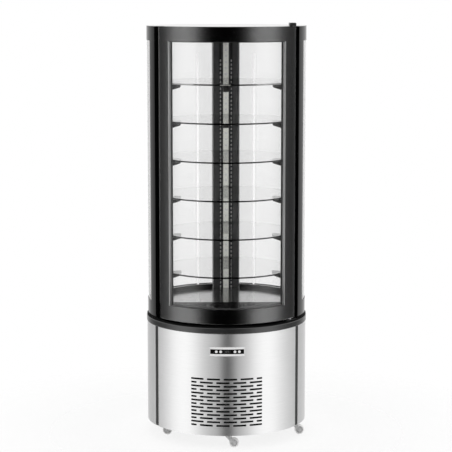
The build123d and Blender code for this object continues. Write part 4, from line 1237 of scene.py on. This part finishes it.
@dataclass
class SideGlazing:
    """Lower rails, curved double glass on both sides and the bars between the sheets."""

    left_angle: float = -71.1
    right_angle: float = 71.1
    glass: float = 0.004
    unit_inner: float = 0.309
    unit_outer: float = 0.3327
    channel_land: float = 0.0003
    groove: tuple[float, float] = (0.006, 0.009)
    groove_start: float = 62.6
    lining: float = 0.001
    spacer_width: float = 0.019
    spacer_bar: float = 0.003
    joint_angle: float = 23.7
    joint_width: float = 0.0075
    joint_sheet: float = 0.0015
    joint_margin: float = 0.065

    def __post_init__(self) -> None:
        """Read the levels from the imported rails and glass."""
        self.rail_radius = high("lower_rails").x
        self.rail_inner = high("deck_plate").x + SEAT_GAP
        self.bottom = low("lower_rails").z
        self.rail_top = high("lower_rails").z
        self.glass_bottom = low("side_glass_right").z
        self.top = low("top_cap").z - SEAT_GAP
        self.column_cut = high("rear_column").x + SEAT_GAP

    def side_angles(self, side: int) -> list[float]:
        """Angles from a pillar to the column, the last one beside the column's face."""
        gap = arc_angle(SEAT_GAP, self.rail_radius)
        start = self.right_angle + gap if side > 0 else self.left_angle - gap
        return stations(start, side * (HALF_TURN - 11.4)) + [side * (HALF_TURN - 10)]

    def beside_column(self, angle: float, radius: float, level: float) -> Vector:
        """Grid point, moved to the column's side face at the last angle."""
        if abs(angle) < HALF_TURN - 10.2:
            return polar(angle, radius, level)
        x = math.copysign(self.column_cut, angle)
        return Vector((x, math.sqrt(radius**2 - x**2), level))

    def rails(self) -> None:
        """Black rails with the glass channel along their tops."""
        depth, height = self.groove
        core = self.rail_radius - depth
        radii = (
            self.rail_inner, self.unit_inner - self.channel_land, core,
            self.unit_outer + self.channel_land, self.rail_radius,
        )
        rails = Shell()
        for side in (-1, 1):
            rails.rings(
                self.side_angles(side),
                radii,
                (self.bottom, self.bottom + height, self.glass_bottom, self.rail_top),
                lambda angle, ring, tier: not (ring in (1, 2) and tier == 2 or ring > 1 and tier == 0),
                place=self.beside_column,
            )
        dress(rails.build("side_rails", bevel=0.0006), GLOSS, "case", "lower_rails")
        # The near-black strip in the groove under the rails is painted shadow of the groove.
        foot, lining = Shell(), Shell()
        floor = high("deck_plate").z + SEAT_GAP
        for side in (-1, 1):
            span = stations(side * self.groove_start, side * (HALF_TURN - 10.8))
            foot.rings(span, (core + SEAT_GAP, core + depth / 2), (self.bottom, self.bottom + height - SEAT_GAP))
            span = stations(side * self.right_angle, side * (HALF_TURN - 12))
            lining.rings(span, (self.rail_inner - self.lining, self.rail_inner), (floor, self.rail_top))
        dress(foot.build("rail_foot_seal"), SHADOW_BLACK, "case")
        dress(lining.build("rail_lining", bevel=0.0003, segments=1), LINING, "case")

    def panes(self) -> None:
        """Two curved sheets a side, with a pale strip down the inside at the back that glows though it is no lamp: a
        painted highlight.
        """
        levels = (self.glass_bottom, self.top)
        half = arc_angle(self.joint_width, self.unit_inner) / 2
        start = self.unit_inner - SEAT_GAP
        for side, name in ((-1, "left"), (1, "right")):
            panes, highlight_strip = Shell(), Shell()
            for inner in (self.unit_inner, self.unit_outer - self.glass):
                radii = (inner, inner + self.glass)
                panes.rings(self.side_angles(side), radii, levels, place=self.beside_column)
            node = f"side_glass_{name}"
            dress(panes.build(f"{node}_panes", bevel=0.0005, segments=1), GLASS, "case", node)
            # The glowing strip is a painted highlight; it stops short of the cap.
            strip_middle = side * (HALF_TURN - self.joint_angle)
            heights = (self.rail_top, self.top - self.joint_margin)
            highlight_strip.rings((strip_middle - half, strip_middle + half), (start - self.joint_sheet, start), heights)
            dress(highlight_strip.build(f"{node}_joint", bevel=0.0003), PAINTED_HIGHLIGHT, "case")

    def bars(self) -> None:
        """Bright bars between the sheets, along their ends and their foot."""
        radii = (self.unit_inner + self.glass, self.unit_outer - self.glass)
        bars = Shell()
        for side in (-1, 1):
            angles = self.side_angles(side)
            width = arc_angle(self.spacer_width, self.unit_outer)
            angles.insert(0, angles[0])
            angles[1] = angles[0] + side * width
            angles = [angles[0]] + [angle for angle in angles[1:] if abs(angle) >= abs(angles[1])]
            last = side * (HALF_TURN - 10.8)
            angles.insert(-1, last)
            foot = self.glass_bottom + self.spacer_bar
            bars.rings(
                sorted(set(angles), key=abs),
                radii,
                (self.glass_bottom, foot, self.top),
                lambda angle, ring, tier: (
                    tier == 0 or abs(angle) < abs(angles[0]) + width or abs(angle) > abs(last)
                ),
                place=self.beside_column,
            )
        dress(bars.build("glass_bars", bevel=0.0004, segments=1), SPACER, "case", "glass_spacers")

    def make(self) -> None:
        """Build both sides."""
        self.rails()
        self.panes()
        self.bars()


@dataclass
class Pillars:
    """Black uprights beside the door, with the lips that its seal closes on."""

    left: tuple[float, float] = (-71.1, -62.5)
    right: tuple[float, float] = (62.5, 71.1)
    lip_angle: float = 51.5
    lip: float = 0.0127
    flange: float = 0.003
    groove: tuple[float, float] = (0.006, 0.009)

    def make(self) -> None:
        """Build both pillars."""
        seal = high("deck_plate").x
        radius = high("lower_rails").x
        depth, height = self.groove
        radii = (
            seal - self.lip, seal - self.flange, seal, seal + SEAT_GAP, radius - depth, radius
        )
        for name, (start, end), side in (("left", self.left, -1), ("right", self.right, 1)):
            lowest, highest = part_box(f"pillar_{name}")
            lip = side * self.lip_angle
            marks = (start, end, lip) if side < 0 else (lip, start, end)
            pillar = Shell().rings(
                stations(*marks),
                radii,
                (lowest.z, lowest.z + height, high("front_air_sill").z, highest.z),
                lambda angle, ring, tier, start=start, end=end: (
                    ring == 1 and tier == 2
                    or start < angle < end
                    and (ring in (0, 2) and tier == 2 or ring == 3 or ring == 4 and tier > 0)
                ),
            )
            piece = pillar.build(f"{name}_pillar", bevel=0.0008)
            dress(piece, GLOSS, "case", f"pillar_{name}")


@dataclass
class Cap:
    """Black top cap, cut back at the front for the door, with a pale cover set in it."""

    rim: float = 0.003
    rim_height: float = 0.004
    flange: float = 0.0008
    recess: tuple[float, float] = (-62.5, 62.5)

    def plan(self, inset: float, level: float) -> list[Vector]:
        """Plan of the cap drawn in by an inset."""
        radius, seal = high("top_cap").x - inset, high("deck_plate").x - inset
        side = arc_angle(inset, high("top_cap").x)
        start, end = self.recess[1] + side, FULL_TURN + self.recess[0] - side
        outer = [polar(angle, radius, level) for angle in stations(start, end)]
        front = stations(self.recess[0] - side, self.recess[1] + side)
        return outer + [polar(angle, seal, level) for angle in front]

    def make(self) -> None:
        """Build the cap and its cover."""
        lowest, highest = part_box("top_cap")
        pocket = highest.z - self.rim_height
        rim_top = highest.z - self.flange
        loops = [
            self.plan(0.0, lowest.z), self.plan(0.0, rim_top),
            self.plan(self.rim, rim_top), self.plan(self.rim, pocket),
        ]
        dress(Shell().loft(loops).build("cap_shell", bevel=0.0004), CAP, "case", "top_cap")
        cover_low, cover_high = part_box("top_cover")
        inset = self.rim + SEAT_GAP
        under = rim_top + SEAT_GAP / 3
        cover = Shell().loft([
            self.plan(inset, cover_low.z), self.plan(inset, under),
            self.plan(SEAT_GAP, under), self.plan(SEAT_GAP, highest.z),
        ])
        dress(cover.build("cap_cover", bevel=0.0002, segments=1), COVER, "case", "top_cover")


@dataclass
class Hinges:
    """Door hinges: the block on top with its pin, and the plate and collar below."""

    pin: float = 0.005
    corner: float = 0.003
    collar: float = 0.0062
    undercut: float = 0.001
    plate: float = 0.0025
    plate_half: float = 5.5
    angle: float = 54.8
    pivot_radius: float = 0.320
    plate_margin: float = 0.002

    def turned(self, radius: float, start: float, end: float, shell: Shell, edge: float = 0.0005) -> None:
        """Add an upright pin or collar with broken edges at the pivot."""
        place = Matrix.Translation(polar(self.angle, self.pivot_radius, 0.0))
        profile = [
            (0.0, start), (radius - edge, start), (radius, start + edge),
            (radius, end - edge), (radius - edge, end), (0.0, end),
        ]
        shell.lathe(profile, place, sides=48)

    def upper(self) -> None:
        """Block on the top of the case, with the pin that the door hangs on."""
        lowest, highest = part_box("upper_hinge")
        door_top = high("door_frame").z
        turns = [math.radians(15 * number) for number in range(7)]
        middle = Vector(((lowest.x + highest.x) / 2, (lowest.y + highest.y) / 2, 0))
        half = Vector(((highest.x - lowest.x) / 2 - self.corner, (highest.y - lowest.y) / 2 - self.corner, 0))

        def plan(level: float, inset: float) -> list[Vector]:
            """Rounded rectangle at a level."""
            radius = self.corner - inset
            found = []
            for quarter, (sx, sy) in enumerate(((1, 1), (-1, 1), (-1, -1), (1, -1))):
                centre = middle + Vector((sx * half.x, sy * half.y, level))
                for turn in turns:
                    angle = turn + quarter * QUARTER
                    found.append(centre + Vector((math.cos(angle), math.sin(angle), 0)) * radius)
            return found

        base = door_top + self.undercut
        soft = 0.001
        loops = [plan(base, 0.0), plan(highest.z - soft, 0.0), plan(highest.z - 0.0003, 0.0007)]
        loops.append(plan(highest.z, soft))
        block = Shell().loft(loops)
        self.turned(self.pin, lowest.z, base, block)
        dress(block.build("top_hinge"), BLACK_METAL, "case", "upper_hinge")

    def lower(self) -> None:
        """Dark plate on the trim ring, and a bright collar with its pin on it."""
        lowest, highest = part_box("lower_hinge")
        outer = high("lower_rails").x - self.plate_margin
        inner = outer - 0.026
        foot = Shell().rings(
            stations(self.angle - self.plate_half, self.angle + self.plate_half),
            (inner, outer),
            (lowest.z, lowest.z + self.plate),
        )
        dress(foot.build("bottom_hinge_plate", bevel=0.0004, segments=1), BLACK_METAL, "case")
        bush, pin = Shell(), Shell()
        self.turned(self.collar, lowest.z + self.plate, low("door_frame").z - SEAT_GAP, bush)
        dress(bush.build("bottom_hinge_bush"), PALE_PLASTIC, "case")
        self.turned(self.pin, low("door_frame").z - SEAT_GAP, highest.z, pin)
        dress(pin.build("bottom_hinge_pin"), ZINC, "case", "lower_hinge")

    def make(self) -> None:
        """Build both hinges."""
        self.upper()
        self.lower()


@dataclass
class Door:
    """Curved door: a black frame behind a full glass, an inner glass, a bright spacer and a seal."""

    left: float = -56.2
    hinge_angle: float = 54.8
    hinge_radius: float = 0.320
    nose: float = 0.020
    window: float = 46.0
    glass: float = 0.004
    inner_radius: float = 0.305
    pane_inset: float = 0.002
    pull_angle: float = 2.8
    pull: tuple[float, float] = (0.311, 0.324)
    spacer_width: float = 0.0045
    spacer_sheet: float = 0.003
    sealant_depth: float = 0.010
    glass_bed: float = 0.00015
    gasket_inner: float = 0.297
    gasket_half: float = 54.4
    gasket_band: float = 4.1
    gasket_lift: float = 0.012

    def __post_init__(self) -> None:
        """Read the door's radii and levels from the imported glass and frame."""
        self.outer = -low("door_outer_glass").y
        self.bottom, self.top = low("door_frame").z, high("door_frame").z
        self.window_low, self.window_high = low("door_inner_glass").z, high("door_inner_glass").z
        self.frame_outer = self.outer - self.glass

    def nose_radius(self, wanted: float) -> Callable[[float], float]:
        """Radius of a grid line of the door, kept inside the round nose about the pin."""

        def radius(angle: float) -> float:
            """Wanted radius, or the nose's own radius past the pin."""
            if angle <= self.hinge_angle:
                return wanted
            turn = math.radians(angle - self.hinge_angle)
            along = self.hinge_radius * math.cos(turn)
            half = math.sqrt(max(0.0, self.nose**2 - (self.hinge_radius * math.sin(turn)) ** 2))
            return min(max(wanted, along - half), along + half)

        return radius

    def nose_angles(self, radius: float) -> list[float]:
        """Angles past the pin up to where the nose crosses a radius, closer together at the end."""
        pivot, nose = self.hinge_radius, self.nose
        reach = math.degrees(math.acos((radius**2 + pivot**2 - nose**2) / (2 * radius * pivot)))
        steps = 10
        turns = [math.sin(QUARTER * number / steps) for number in range(1, steps + 1)]
        return [self.hinge_angle + 0.999 * reach * turn for turn in turns]

    def frame_piece(self) -> None:
        """Frame of two rails and two stiles, with the finger pull along its left edge."""
        angles = stations(self.left, self.left + self.pull_angle, -self.window, self.window, self.hinge_angle)
        angles += self.nose_angles(self.hinge_radius)
        radii = [self.nose_radius(r) for r in (self.inner_radius, *self.pull, self.frame_outer)]
        levels = (self.bottom, self.window_low, self.window_high, self.top)

        def filled(angle: float, ring: int, tier: int) -> bool:
            """True outside the window and the finger pull."""
            if tier == 1 and abs(angle) < self.window:
                return False
            return not (ring == 1 and angle < self.left + self.pull_angle)

        piece = Shell().rings(angles, radii, levels, filled).build("door_frame_body", bevel=0.0008)
        dress(piece, GLOSS, "door", "door_frame")

    def panes(self) -> None:
        """Outer glass over the whole door, and the inner glass in the window."""
        angles = stations(self.left, self.hinge_angle) + self.nose_angles(self.frame_outer)
        radii = [self.nose_radius(r) for r in (self.frame_outer + self.glass_bed, self.outer)]
        outer = Shell().rings(angles, radii, (self.bottom, self.top))
        dress(outer.build("door_front_glass", bevel=0.0006), GLASS, "door", "door_outer_glass")
        start = self.inner_radius + self.pane_inset
        inner = Shell().rings(
            stations(-self.window, self.window), (start, start + self.glass),
            (self.window_low, self.window_high),
        )
        dress(inner.build("door_back_glass", bevel=0.0004, segments=1), GLASS, "door", "door_inner_glass")

    def spacer(self) -> None:
        """Spacer between the sheets, bright along its uprights and dark along its top and bottom as painted shade, and
        the dark sealant over the inner half of its face.
        """
        start = self.inner_radius + self.pane_inset + self.glass
        inside = self.window - arc_angle(self.spacer_width, self.outer)
        levels = (
            self.window_low, self.window_low + self.spacer_sheet,
            self.window_high - self.spacer_sheet, self.window_high,
        )
        angles = stations(-self.window, -inside, inside, self.window)
        radii = (start, self.frame_outer)
        upright = Shell().rings(angles, radii, levels, lambda angle, ring, tier: abs(angle) > inside)
        dress(upright.build("door_spacer_bars", bevel=0.0003, segments=1), SPACER, "door", "door_spacer")
        # Top and bottom lengths of the same spacer take the dark seal finish: painted shade.
        ends = Shell()
        for tier in (0, 2):
            ends.rings(stations(-inside, inside), radii, levels[tier:tier + 2])
        dress(ends.build("door_spacer_ends"), SEAL, "door")
        band = Shell()
        for side in (-1, 1):
            marks = sorted((side * inside, side * (inside - arc_angle(SEAT_GAP, self.outer))))
            band.rings(marks, (start, start + self.sealant_depth), (levels[1], levels[2]))
        dress(band.build("door_sealant_bands"), SEAL, "door")

    def gasket(self) -> None:
        """Soft seal round the back of the door."""
        inside = self.gasket_half - self.gasket_band
        lift = self.gasket_lift
        levels = (self.bottom + lift, self.bottom + 2 * lift, self.top - 2 * lift, self.top - lift)
        waist = self.gasket_inner + 0.003
        gasket = Shell().rings(
            stations(-self.gasket_half, -inside, inside, self.gasket_half),
            (self.gasket_inner, waist, self.inner_radius),
            levels,
            lambda angle, ring, tier: tier != 1 or abs(angle) > inside,
        )
        dress(gasket.build("door_seal", bevel=0.0012), SEAL, "door", "door_gasket")

    def make(self) -> None:
        """Build the door."""
        self.frame_piece()
        self.panes()
        self.spacer()
        self.gasket()


@dataclass
class Controller:
    """Pale bezel on the front panel, a black face with a display, and four buttons."""

    bezel_width: float = 0.143
    face_width: float = 0.139
    face_height: float = 0.0195
    face_rise: float = 0.0014
    face_depth: float = 0.004
    button_radius: float = 0.0055
    button_length: float = 0.008
    button_edge: float = 0.0007
    places: tuple[float, ...] = (-0.0445, -0.0265, 0.032, 0.050)

    def make(self) -> None:
        """Build the controller."""
        radius = -low("front_panel").y
        bezel_low, bezel_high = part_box("controller_bezel")
        level = (bezel_low.z + bezel_high.z) / 2
        outer_half = arc_angle(self.bezel_width, radius) / 2
        window = arc_angle(self.face_width, radius) / 2
        bezel = Shell().rings(
            stations(-outer_half, -window, window, outer_half),
            (radius, -bezel_low.y),
            (bezel_low.z, level - self.face_height / 2, level + self.face_height / 2, bezel_high.z),
            lambda angle, ring, tier: tier != 1 or abs(angle) > window,
        )
        dress(bezel.build("control_bezel", bevel=0.0006), PALE_PLASTIC, "case", "controller_bezel")
        self.face(radius + self.face_rise, level, window - arc_angle(SEAT_GAP, radius))
        for number, x in enumerate(self.places, start=1):
            self.button(number, x, level)

    def face(self, radius: float, level: float, half: float) -> None:
        """Black face with a well for each button, and the display on it.

        Args:
            radius: The face's outer radius.
            level: The middle level.
            half: Half of the face's angle.
        """
        rise = self.face_height / 2 - SEAT_GAP
        face = Shell().rings(
            stations(-half, half, step=0.5), (radius - self.face_depth, radius), (level - rise, level + rise)
        ).build("control_face")
        wells = Shell()
        reach = 0.03
        for x in self.places:
            place = Matrix.Translation((x, 0, level)) @ Matrix.Rotation(QUARTER, 4, "X")
            well = self.button_radius + SEAT_GAP
            wells.lathe([(0, radius - reach), (well, radius - reach), (well, radius + reach), (0, radius + reach)], place, 48)
        face = carve(face, wells.build("well_cutters"))
        dress(face, FACE, "case", "controller_face")
        half_display = arc_angle(0.028, radius) / 2
        display = Shell().rings(
            stations(-half_display, half_display, step=0.5),
            (radius, radius + 0.0002),
            (level - 0.0058, level + 0.0058),
        )
        dress(display.build("control_display"), CAN, "case")
        self.digits(radius + 0.0002, level)

    def digits(self, radius: float, level: float) -> None:
        """Two plain dim digits on the display, as bars of seven."""
        bar, half_width, half_height = 0.0007, 0.0018, 0.0036
        rows = {"top": half_height, "middle": 0.0, "bottom": -half_height}
        shown = (
            (-0.0042, ("top", "bottom"), ((-1, 1), (-1, -1), (1, 1), (1, -1))),
            (0.0042, ("middle",), ((-1, 1), (1, 1), (1, -1))),
        )
        digits = Shell()
        for x, bars, posts in shown:
            for name in bars:
                middle = Vector((x, -radius, level + rows[name]))
                digits.block(middle - Vector((half_width, 0.00005, bar / 2)), middle + Vector((half_width, 0, bar / 2)))
            for side, up in posts:
                middle = Vector((x + side * half_width, -radius, level + up * half_height / 2))
                reach = half_height / 2 - bar / 2
                digits.block(middle - Vector((bar / 2, 0.00005, reach)), middle + Vector((bar / 2, 0, reach)))
        dress(digits.build("display_digits"), DIGIT, "case")

    def button(self, number: int, x: float, level: float) -> None:
        """Round pale button with a dished top.

        Args:
            number: The button's number.
            x: Its place across the face.
            level: The middle level.
        """
        node = f"button_{number}"
        front = -low(node).y
        place = Matrix.Translation((x, 0, level)) @ Matrix.Rotation(QUARTER, 4, "X")
        radius, edge = self.button_radius, self.button_edge
        profile = [
            (0.0, front - self.button_length),
            (radius, front - self.button_length),
            (radius, front - edge),
            (radius - edge * 0.3, front - edge * 0.3),
            (radius - edge, front),
            (radius - 2 * edge, front - edge * 0.3),
            (0.0, front - edge * 0.6),
        ]
        dress(Shell().lathe(profile, place, 48).build(f"{node}_cap"), PALE_PLASTIC, node, node)


@dataclass
class Machine:
    """Refrigeration in the base and under the deck."""

    def make(self) -> None:
        """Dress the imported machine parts."""
        keep("compressor", CAN)
        keep("condenser_coil", SHADED)
        keep("fan_shroud", BLACK_METAL)
        keep("evaporator_unit", FINS)
        keep("pipework", COPPER)
        keep("condenser_fan", BLACK_PLASTIC)
        keep("evaporator_fan", BLACK_PLASTIC)


@dataclass
class Castors:
    """Five swivelling castors with pale wheels."""

    count: int = 5
    ring_radius: float = 0.296
    trail: float = 0.029
    wheel: float = 0.020
    width: float = 0.016
    hub_width: float = 0.019
    hub_radius: float = 0.007
    core: float = 0.015
    recess: float = 0.0025
    soft: float = 0.003
    bore: float = 0.00305
    leg: float = 0.0025
    eye: float = 0.0075
    axle_head: float = 0.005
    head_radius: float = 0.018
    head_height: float = 0.005

    def fork(self, number: int, spot: Vector) -> None:
        """Pressed fork: a round head and two tapered legs with the axle.

        Args:
            number: The castor's number.
            spot: The swivel's place on the floor plan.
        """
        node = f"castor_{number}_fork"
        top = high(node).z
        under = top - self.head_height
        axle = Vector((spot.x + self.trail, spot.y, self.wheel))
        fork = Shell()
        edge = 0.0008
        bore = 0.00405
        profile = [
            (bore, under), (self.head_radius, under), (self.head_radius, top - edge),
            (self.head_radius - edge, top), (bore, top),
        ]
        fork.lathe(profile, Matrix.Translation((spot.x, spot.y, 0)), 64, looped=True)
        inner = self.hub_width / 2 + SEAT_GAP
        rim = [(axle.x + self.eye * math.cos(t), axle.z + self.eye * math.sin(t)) for t in
               (2 * math.pi * step / 48 for step in range(48))]
        half = self.head_radius / 2
        corners = [(spot.x + sx * half, under + rise) for sx in (-1, 1) for rise in (0.0, self.head_height / 2)]
        points = rim + corners
        outline = [points[index] for index in convex_hull_2d([Vector(point) for point in points])]
        for side in (-1, 1):
            faces = [spot.y + side * inner, spot.y + side * (inner + self.leg)]
            fork.loft([[Vector((x, y, z)) for x, z in outline] for y in faces])
        turn = Matrix.Translation(axle) @ Matrix.Rotation(QUARTER, 4, "X")
        reach = inner + self.leg
        tip = reach + 0.0015
        pin = 0.003
        profile = [
            (0.0, -tip), (self.axle_head, -tip), (self.axle_head, -reach), (pin, -reach),
            (pin, reach), (self.axle_head, reach), (self.axle_head, tip), (0.0, tip),
        ]
        fork.lathe(profile, turn, 32)
        dress(fork.build(f"{node}_pressing", bevel=0.0004, segments=1), CASTOR_STEEL, node, node)

    def roller(self, number: int, spot: Vector) -> None:
        """Wheel: a pale hub with ribs, and a round-shouldered tyre.

        Args:
            number: The castor's number.
            spot: The swivel's place on the floor plan.
        """
        node = f"castor_{number}_wheel"
        axle = Vector((spot.x + self.trail, spot.y, self.wheel))
        turn = Matrix.Translation(axle) @ Matrix.Rotation(QUARTER, 4, "X")
        half, soft = self.width / 2, self.soft
        turns = [math.radians(18 * step) for step in range(6)]
        shoulder = [(self.wheel - soft + soft * math.cos(t), half - soft + soft * math.sin(t)) for t in turns]
        section = [(self.core, -half), *[(r, -h) for r, h in reversed(shoulder)], *shoulder, (self.core, half)]
        tyre = Shell().lathe(section, turn, 96, looped=True)
        dress(tyre.build(f"{node}_tyre"), TYRE, node, node)
        web = half - self.recess
        boss = self.hub_width / 2
        section = [
            (self.bore, -boss), (self.hub_radius, -boss), (self.hub_radius, -web), (self.core, -web),
            (self.core, web), (self.hub_radius, web), (self.hub_radius, boss), (self.bore, boss),
        ]
        hub = Shell().lathe(section, turn, 64, looped=True)
        ribs = 6
        for rib in range(ribs):
            spin = turn @ Matrix.Rotation(2 * math.pi * rib / ribs, 4, "Z")
            for side in (-1, 1):
                levels = sorted((side * (web - 0.0002), side * (half - 0.0006)))
                corners = ((self.hub_radius - 0.0004, -0.0006), (self.core + 0.0004, -0.0006),
                           (self.core + 0.0004, 0.0006), (self.hub_radius - 0.0004, 0.0006))
                hub.loft([[spin @ Vector((x, y, z)) for x, y in corners] for z in levels])
        dress(hub.build(f"{node}_hub", bevel=0.0002, segments=1), HUB, node)

    def make(self) -> None:
        """Build the castors."""
        keep("castor_plates", CASTOR_STEEL)
        for number in range(1, self.count + 1):
            spot = polar(FULL_TURN * (number - 1) / self.count, self.ring_radius, 0.0)
            self.fork(number, spot)
            self.roller(number, spot)


@dataclass
class Studio:
    """Pale floor, soft lamps, a studio that shines in the steel, and the camera."""

    distance: float = 6.858
    height: float = 1.8557
    pitch: float = 81.934
    turn: float = 0.5
    shift: float = -0.001
    lens: float = 129.743
    sensor: float = 36.0
    floor_radius: float = 1.5
    floor_fade: tuple[float, float] = (0.45, 1.3)
    shadow_share: float = 0.2
    sky: float = 0.85
    clear_view: tuple[float, float] = (0.5, 0.86)
    horizon: tuple[float, ...] = (-20.0, -14.5, 3.0, 10.0)
    wall_turn: float = -3.4
    panel_turn: float = 1.5
    wall_stops: Profile = (
        (0, 0.0), (10, 0.002), (15, 0.008), (20, 0.028), (25, 0.08), (30, 0.18), (36, 0.43), (42, 0.76),
        (48, 1.02), (55, 1.155), (62, 1.178), (70, 1.11), (78, 0.9), (86, 0.57), (94, 0.31), (102, 0.18),
        (112, 0.12), (125, 0.2), (140, 0.42), (152, 0.62), (163, 0.8), (170, 1.0), (180, 1.0),
    )
    panel_stops: Profile = (
        (0, 0.0), (5, 0.02), (10, 0.55), (15, 0.8), (25, 0.85), (36, 1.04), (48, 1.18), (62, 1.27), (78, 1.23),
        (102, 1.25), (125, 1.1), (150, 1.0), (180, 0.95),
    )

    def camera(self) -> None:
        """Camera at the photograph's viewing angle."""
        data = bpy.data.cameras.new("camera")
        data.lens = self.lens
        data.sensor_width = self.sensor
        data.shift_x = self.shift
        camera = bpy.data.objects.new("camera", data)
        camera.location = polar(-self.turn, self.distance, self.height)
        camera.rotation_euler = (math.radians(self.pitch), 0.0, math.radians(-self.turn))
        bpy.context.scene.collection.objects.link(camera)
        bpy.context.scene.camera = camera

    def lamps(self) -> None:
        """Large soft lamps that give the object its form and its shadow."""
        rig = (
            ("key_lamp", (-2.6, -2.8, 3.2), 22.0, 2.2),
            ("fill_lamp", (2.8, -2.2, 2.4), 14.0, 2.2),
            ("top_lamp", (0.0, 0.6, 4.2), 16.0, 2.6),
        )
        for name, place, power, size in rig:
            data = bpy.data.lights.new(name, "AREA")
            data.shape = "DISK"
            data.size = size
            data.energy = power
            lamp = bpy.data.objects.new(name, data)
            lamp.location = place
            aim = Vector((0.0, 0.0, 0.9)) - Vector(place)
            lamp.rotation_euler = aim.to_track_quat("-Z", "Y").to_euler()
            lamp.visible_glossy = False
            lamp.visible_transmission = False
            bpy.context.scene.collection.objects.link(lamp)

    def shine(self, graph: Graph, flat: Sequence, heading: float, stops: Profile) -> bpy.types.NodeSocket:
        """Brightness of the studio by the angle from its own front.

        Args:
            graph: The world's node tree.
            flat: The level direction's X and Y.
            heading: How far its front is turned towards +X, in degrees.
            stops: The brightness at angles in degrees.

        Returns:
            The brightness.
        """
        aside = graph.math("MULTIPLY", flat[0], math.sin(math.radians(heading)))
        ahead = graph.math("MULTIPLY", flat[1], -math.cos(math.radians(heading)))
        turn = graph.math("DIVIDE", graph.math("ARCCOSINE", graph.math("ADD", aside, ahead)), math.pi)
        ramp = graph.add("ShaderNodeValToRGB", {0: turn})
        elements = ramp.color_ramp.elements
        brightest = max(value for angle, value in stops)
        for number, (angle, value) in enumerate(stops):
            stop = elements[number] if number < len(elements) else elements.new(angle / HALF_TURN)
            stop.position = angle / HALF_TURN
            stop.color = grey(value / brightest)
        return graph.math("MULTIPLY", ramp.outputs[0], brightest)

    def world(self) -> None:
        """White background, and a studio that is dark behind the camera and bright at its sides."""
        world = bpy.data.worlds.new("studio")
        world.use_nodes = True
        bpy.context.scene.world = world
        graph = Graph(world.node_tree)
        way = graph.add("ShaderNodeTexCoord").outputs["Generated"]
        parts = graph.add("ShaderNodeSeparateXYZ", {0: way}).outputs
        flat = graph.add("ShaderNodeCombineXYZ", {0: parts[0], 1: parts[1]})
        unit = graph.add("ShaderNodeVectorMath", {0: flat.outputs[0]}, operation="NORMALIZE")
        heading = graph.add("ShaderNodeSeparateXYZ", {0: unit.outputs[0]}).outputs
        lowest, low_full, high_full, highest = (math.sin(math.radians(angle)) for angle in self.horizon)
        rising = graph.between(parts[2], lowest, low_full)
        falling = graph.between(parts[2], high_full, highest, 1.0, 0.0)
        level_band = graph.math("MULTIPLY", rising, falling)
        walls = self.shine(graph, heading, self.wall_turn, self.wall_stops)
        panels = self.shine(graph, heading, self.panel_turn, self.panel_stops)
        shine = graph.add("ShaderNodeMix", {0: level_band, 2: panels, 3: walls}, data_type="FLOAT").outputs[0]
        rays = graph.add("ShaderNodeLightPath").outputs
        mirrored = graph.math("MAXIMUM", rays["Is Glossy Ray"], rays["Is Transmission Ray"])
        level = graph.add("ShaderNodeMix", {0: mirrored, 2: self.sky, 3: shine}, data_type="FLOAT").outputs[0]
        unmirrored = graph.math("LESS_THAN", rays["Glossy Depth"], 0.5)
        forward = graph.between(heading[1], *self.clear_view, 1.0, 0.0)
        through = graph.math("MULTIPLY", graph.math("MULTIPLY", rays["Is Transmission Ray"], unmirrored), forward)
        level = graph.add("ShaderNodeMix", {0: through, 2: level, 3: 1.0}, data_type="FLOAT").outputs[0]
        level = graph.add("ShaderNodeMix", {0: rays["Is Camera Ray"], 2: level, 3: 1.0}, data_type="FLOAT")
        back = graph.add("ShaderNodeBackground", {"Color": grey(1.0), "Strength": level.outputs[0]})
        graph.add("ShaderNodeOutputWorld", {"Surface": back.outputs[0]})

    def floor(self) -> None:
        """Pale floor that keeps the object's shadow and fades into the white background."""
        floor = Shell().lathe([(0.0, -0.002), (self.floor_radius, -0.002), (self.floor_radius, 0.0), (0.0, 0.0)])
        floor = floor.build("studio_floor")
        made = bpy.data.materials.new("studio_floor")
        made.use_nodes = True
        graph = Graph(made.node_tree)
        matt = graph.add("ShaderNodeBsdfDiffuse", {"Color": grey(0.95)}).outputs[0]
        rays = graph.add("ShaderNodeLightPath").outputs
        seen = graph.math("MAXIMUM", rays["Is Camera Ray"], rays["Is Transmission Ray"])
        white = graph.add("ShaderNodeEmission", {"Strength": 1.0}).outputs[0]
        share = graph.math("MULTIPLY", seen, 1.0 - self.shadow_share)
        pale = graph.add("ShaderNodeMixShader", {0: share, 1: matt, 2: white}).outputs[0]
        place = graph.add("ShaderNodeTexCoord").outputs["Object"]
        reach = graph.add("ShaderNodeVectorMath", {0: place}, operation="LENGTH").outputs["Value"]
        faded = graph.between(reach, *self.floor_fade)
        faded = graph.math("MAXIMUM", faded, rays["Is Glossy Ray"])
        clear = graph.add("ShaderNodeBsdfTransparent").outputs[0]
        both = graph.add("ShaderNodeMixShader", {0: faded, 1: pale, 2: clear}).outputs[0]
        graph.add("ShaderNodeOutputMaterial", {"Surface": both})
        floor.data.materials.append(made)

    def make(self) -> None:
        """Build the studio."""
        self.camera()
        self.lamps()
        self.world()
        self.floor()
        bpy.context.scene.view_settings.view_transform = "Standard"


def main() -> None:
    """Build every sub-assembly in order."""
    logging.basicConfig(level=logging.INFO, format="%(message)s")
    assemblies = (
        Base(), Trim(), Deck(), Column(), Shelves(), SideGlazing(), Pillars(), Cap(), Hinges(),
        Door(), Controller(), Machine(), Castors(), Studio(),
    )
    for assembly in assemblies:
        LOG.info("%s", type(assembly).__name__)
        assembly.make()


if __name__ == "__main__":
    main()
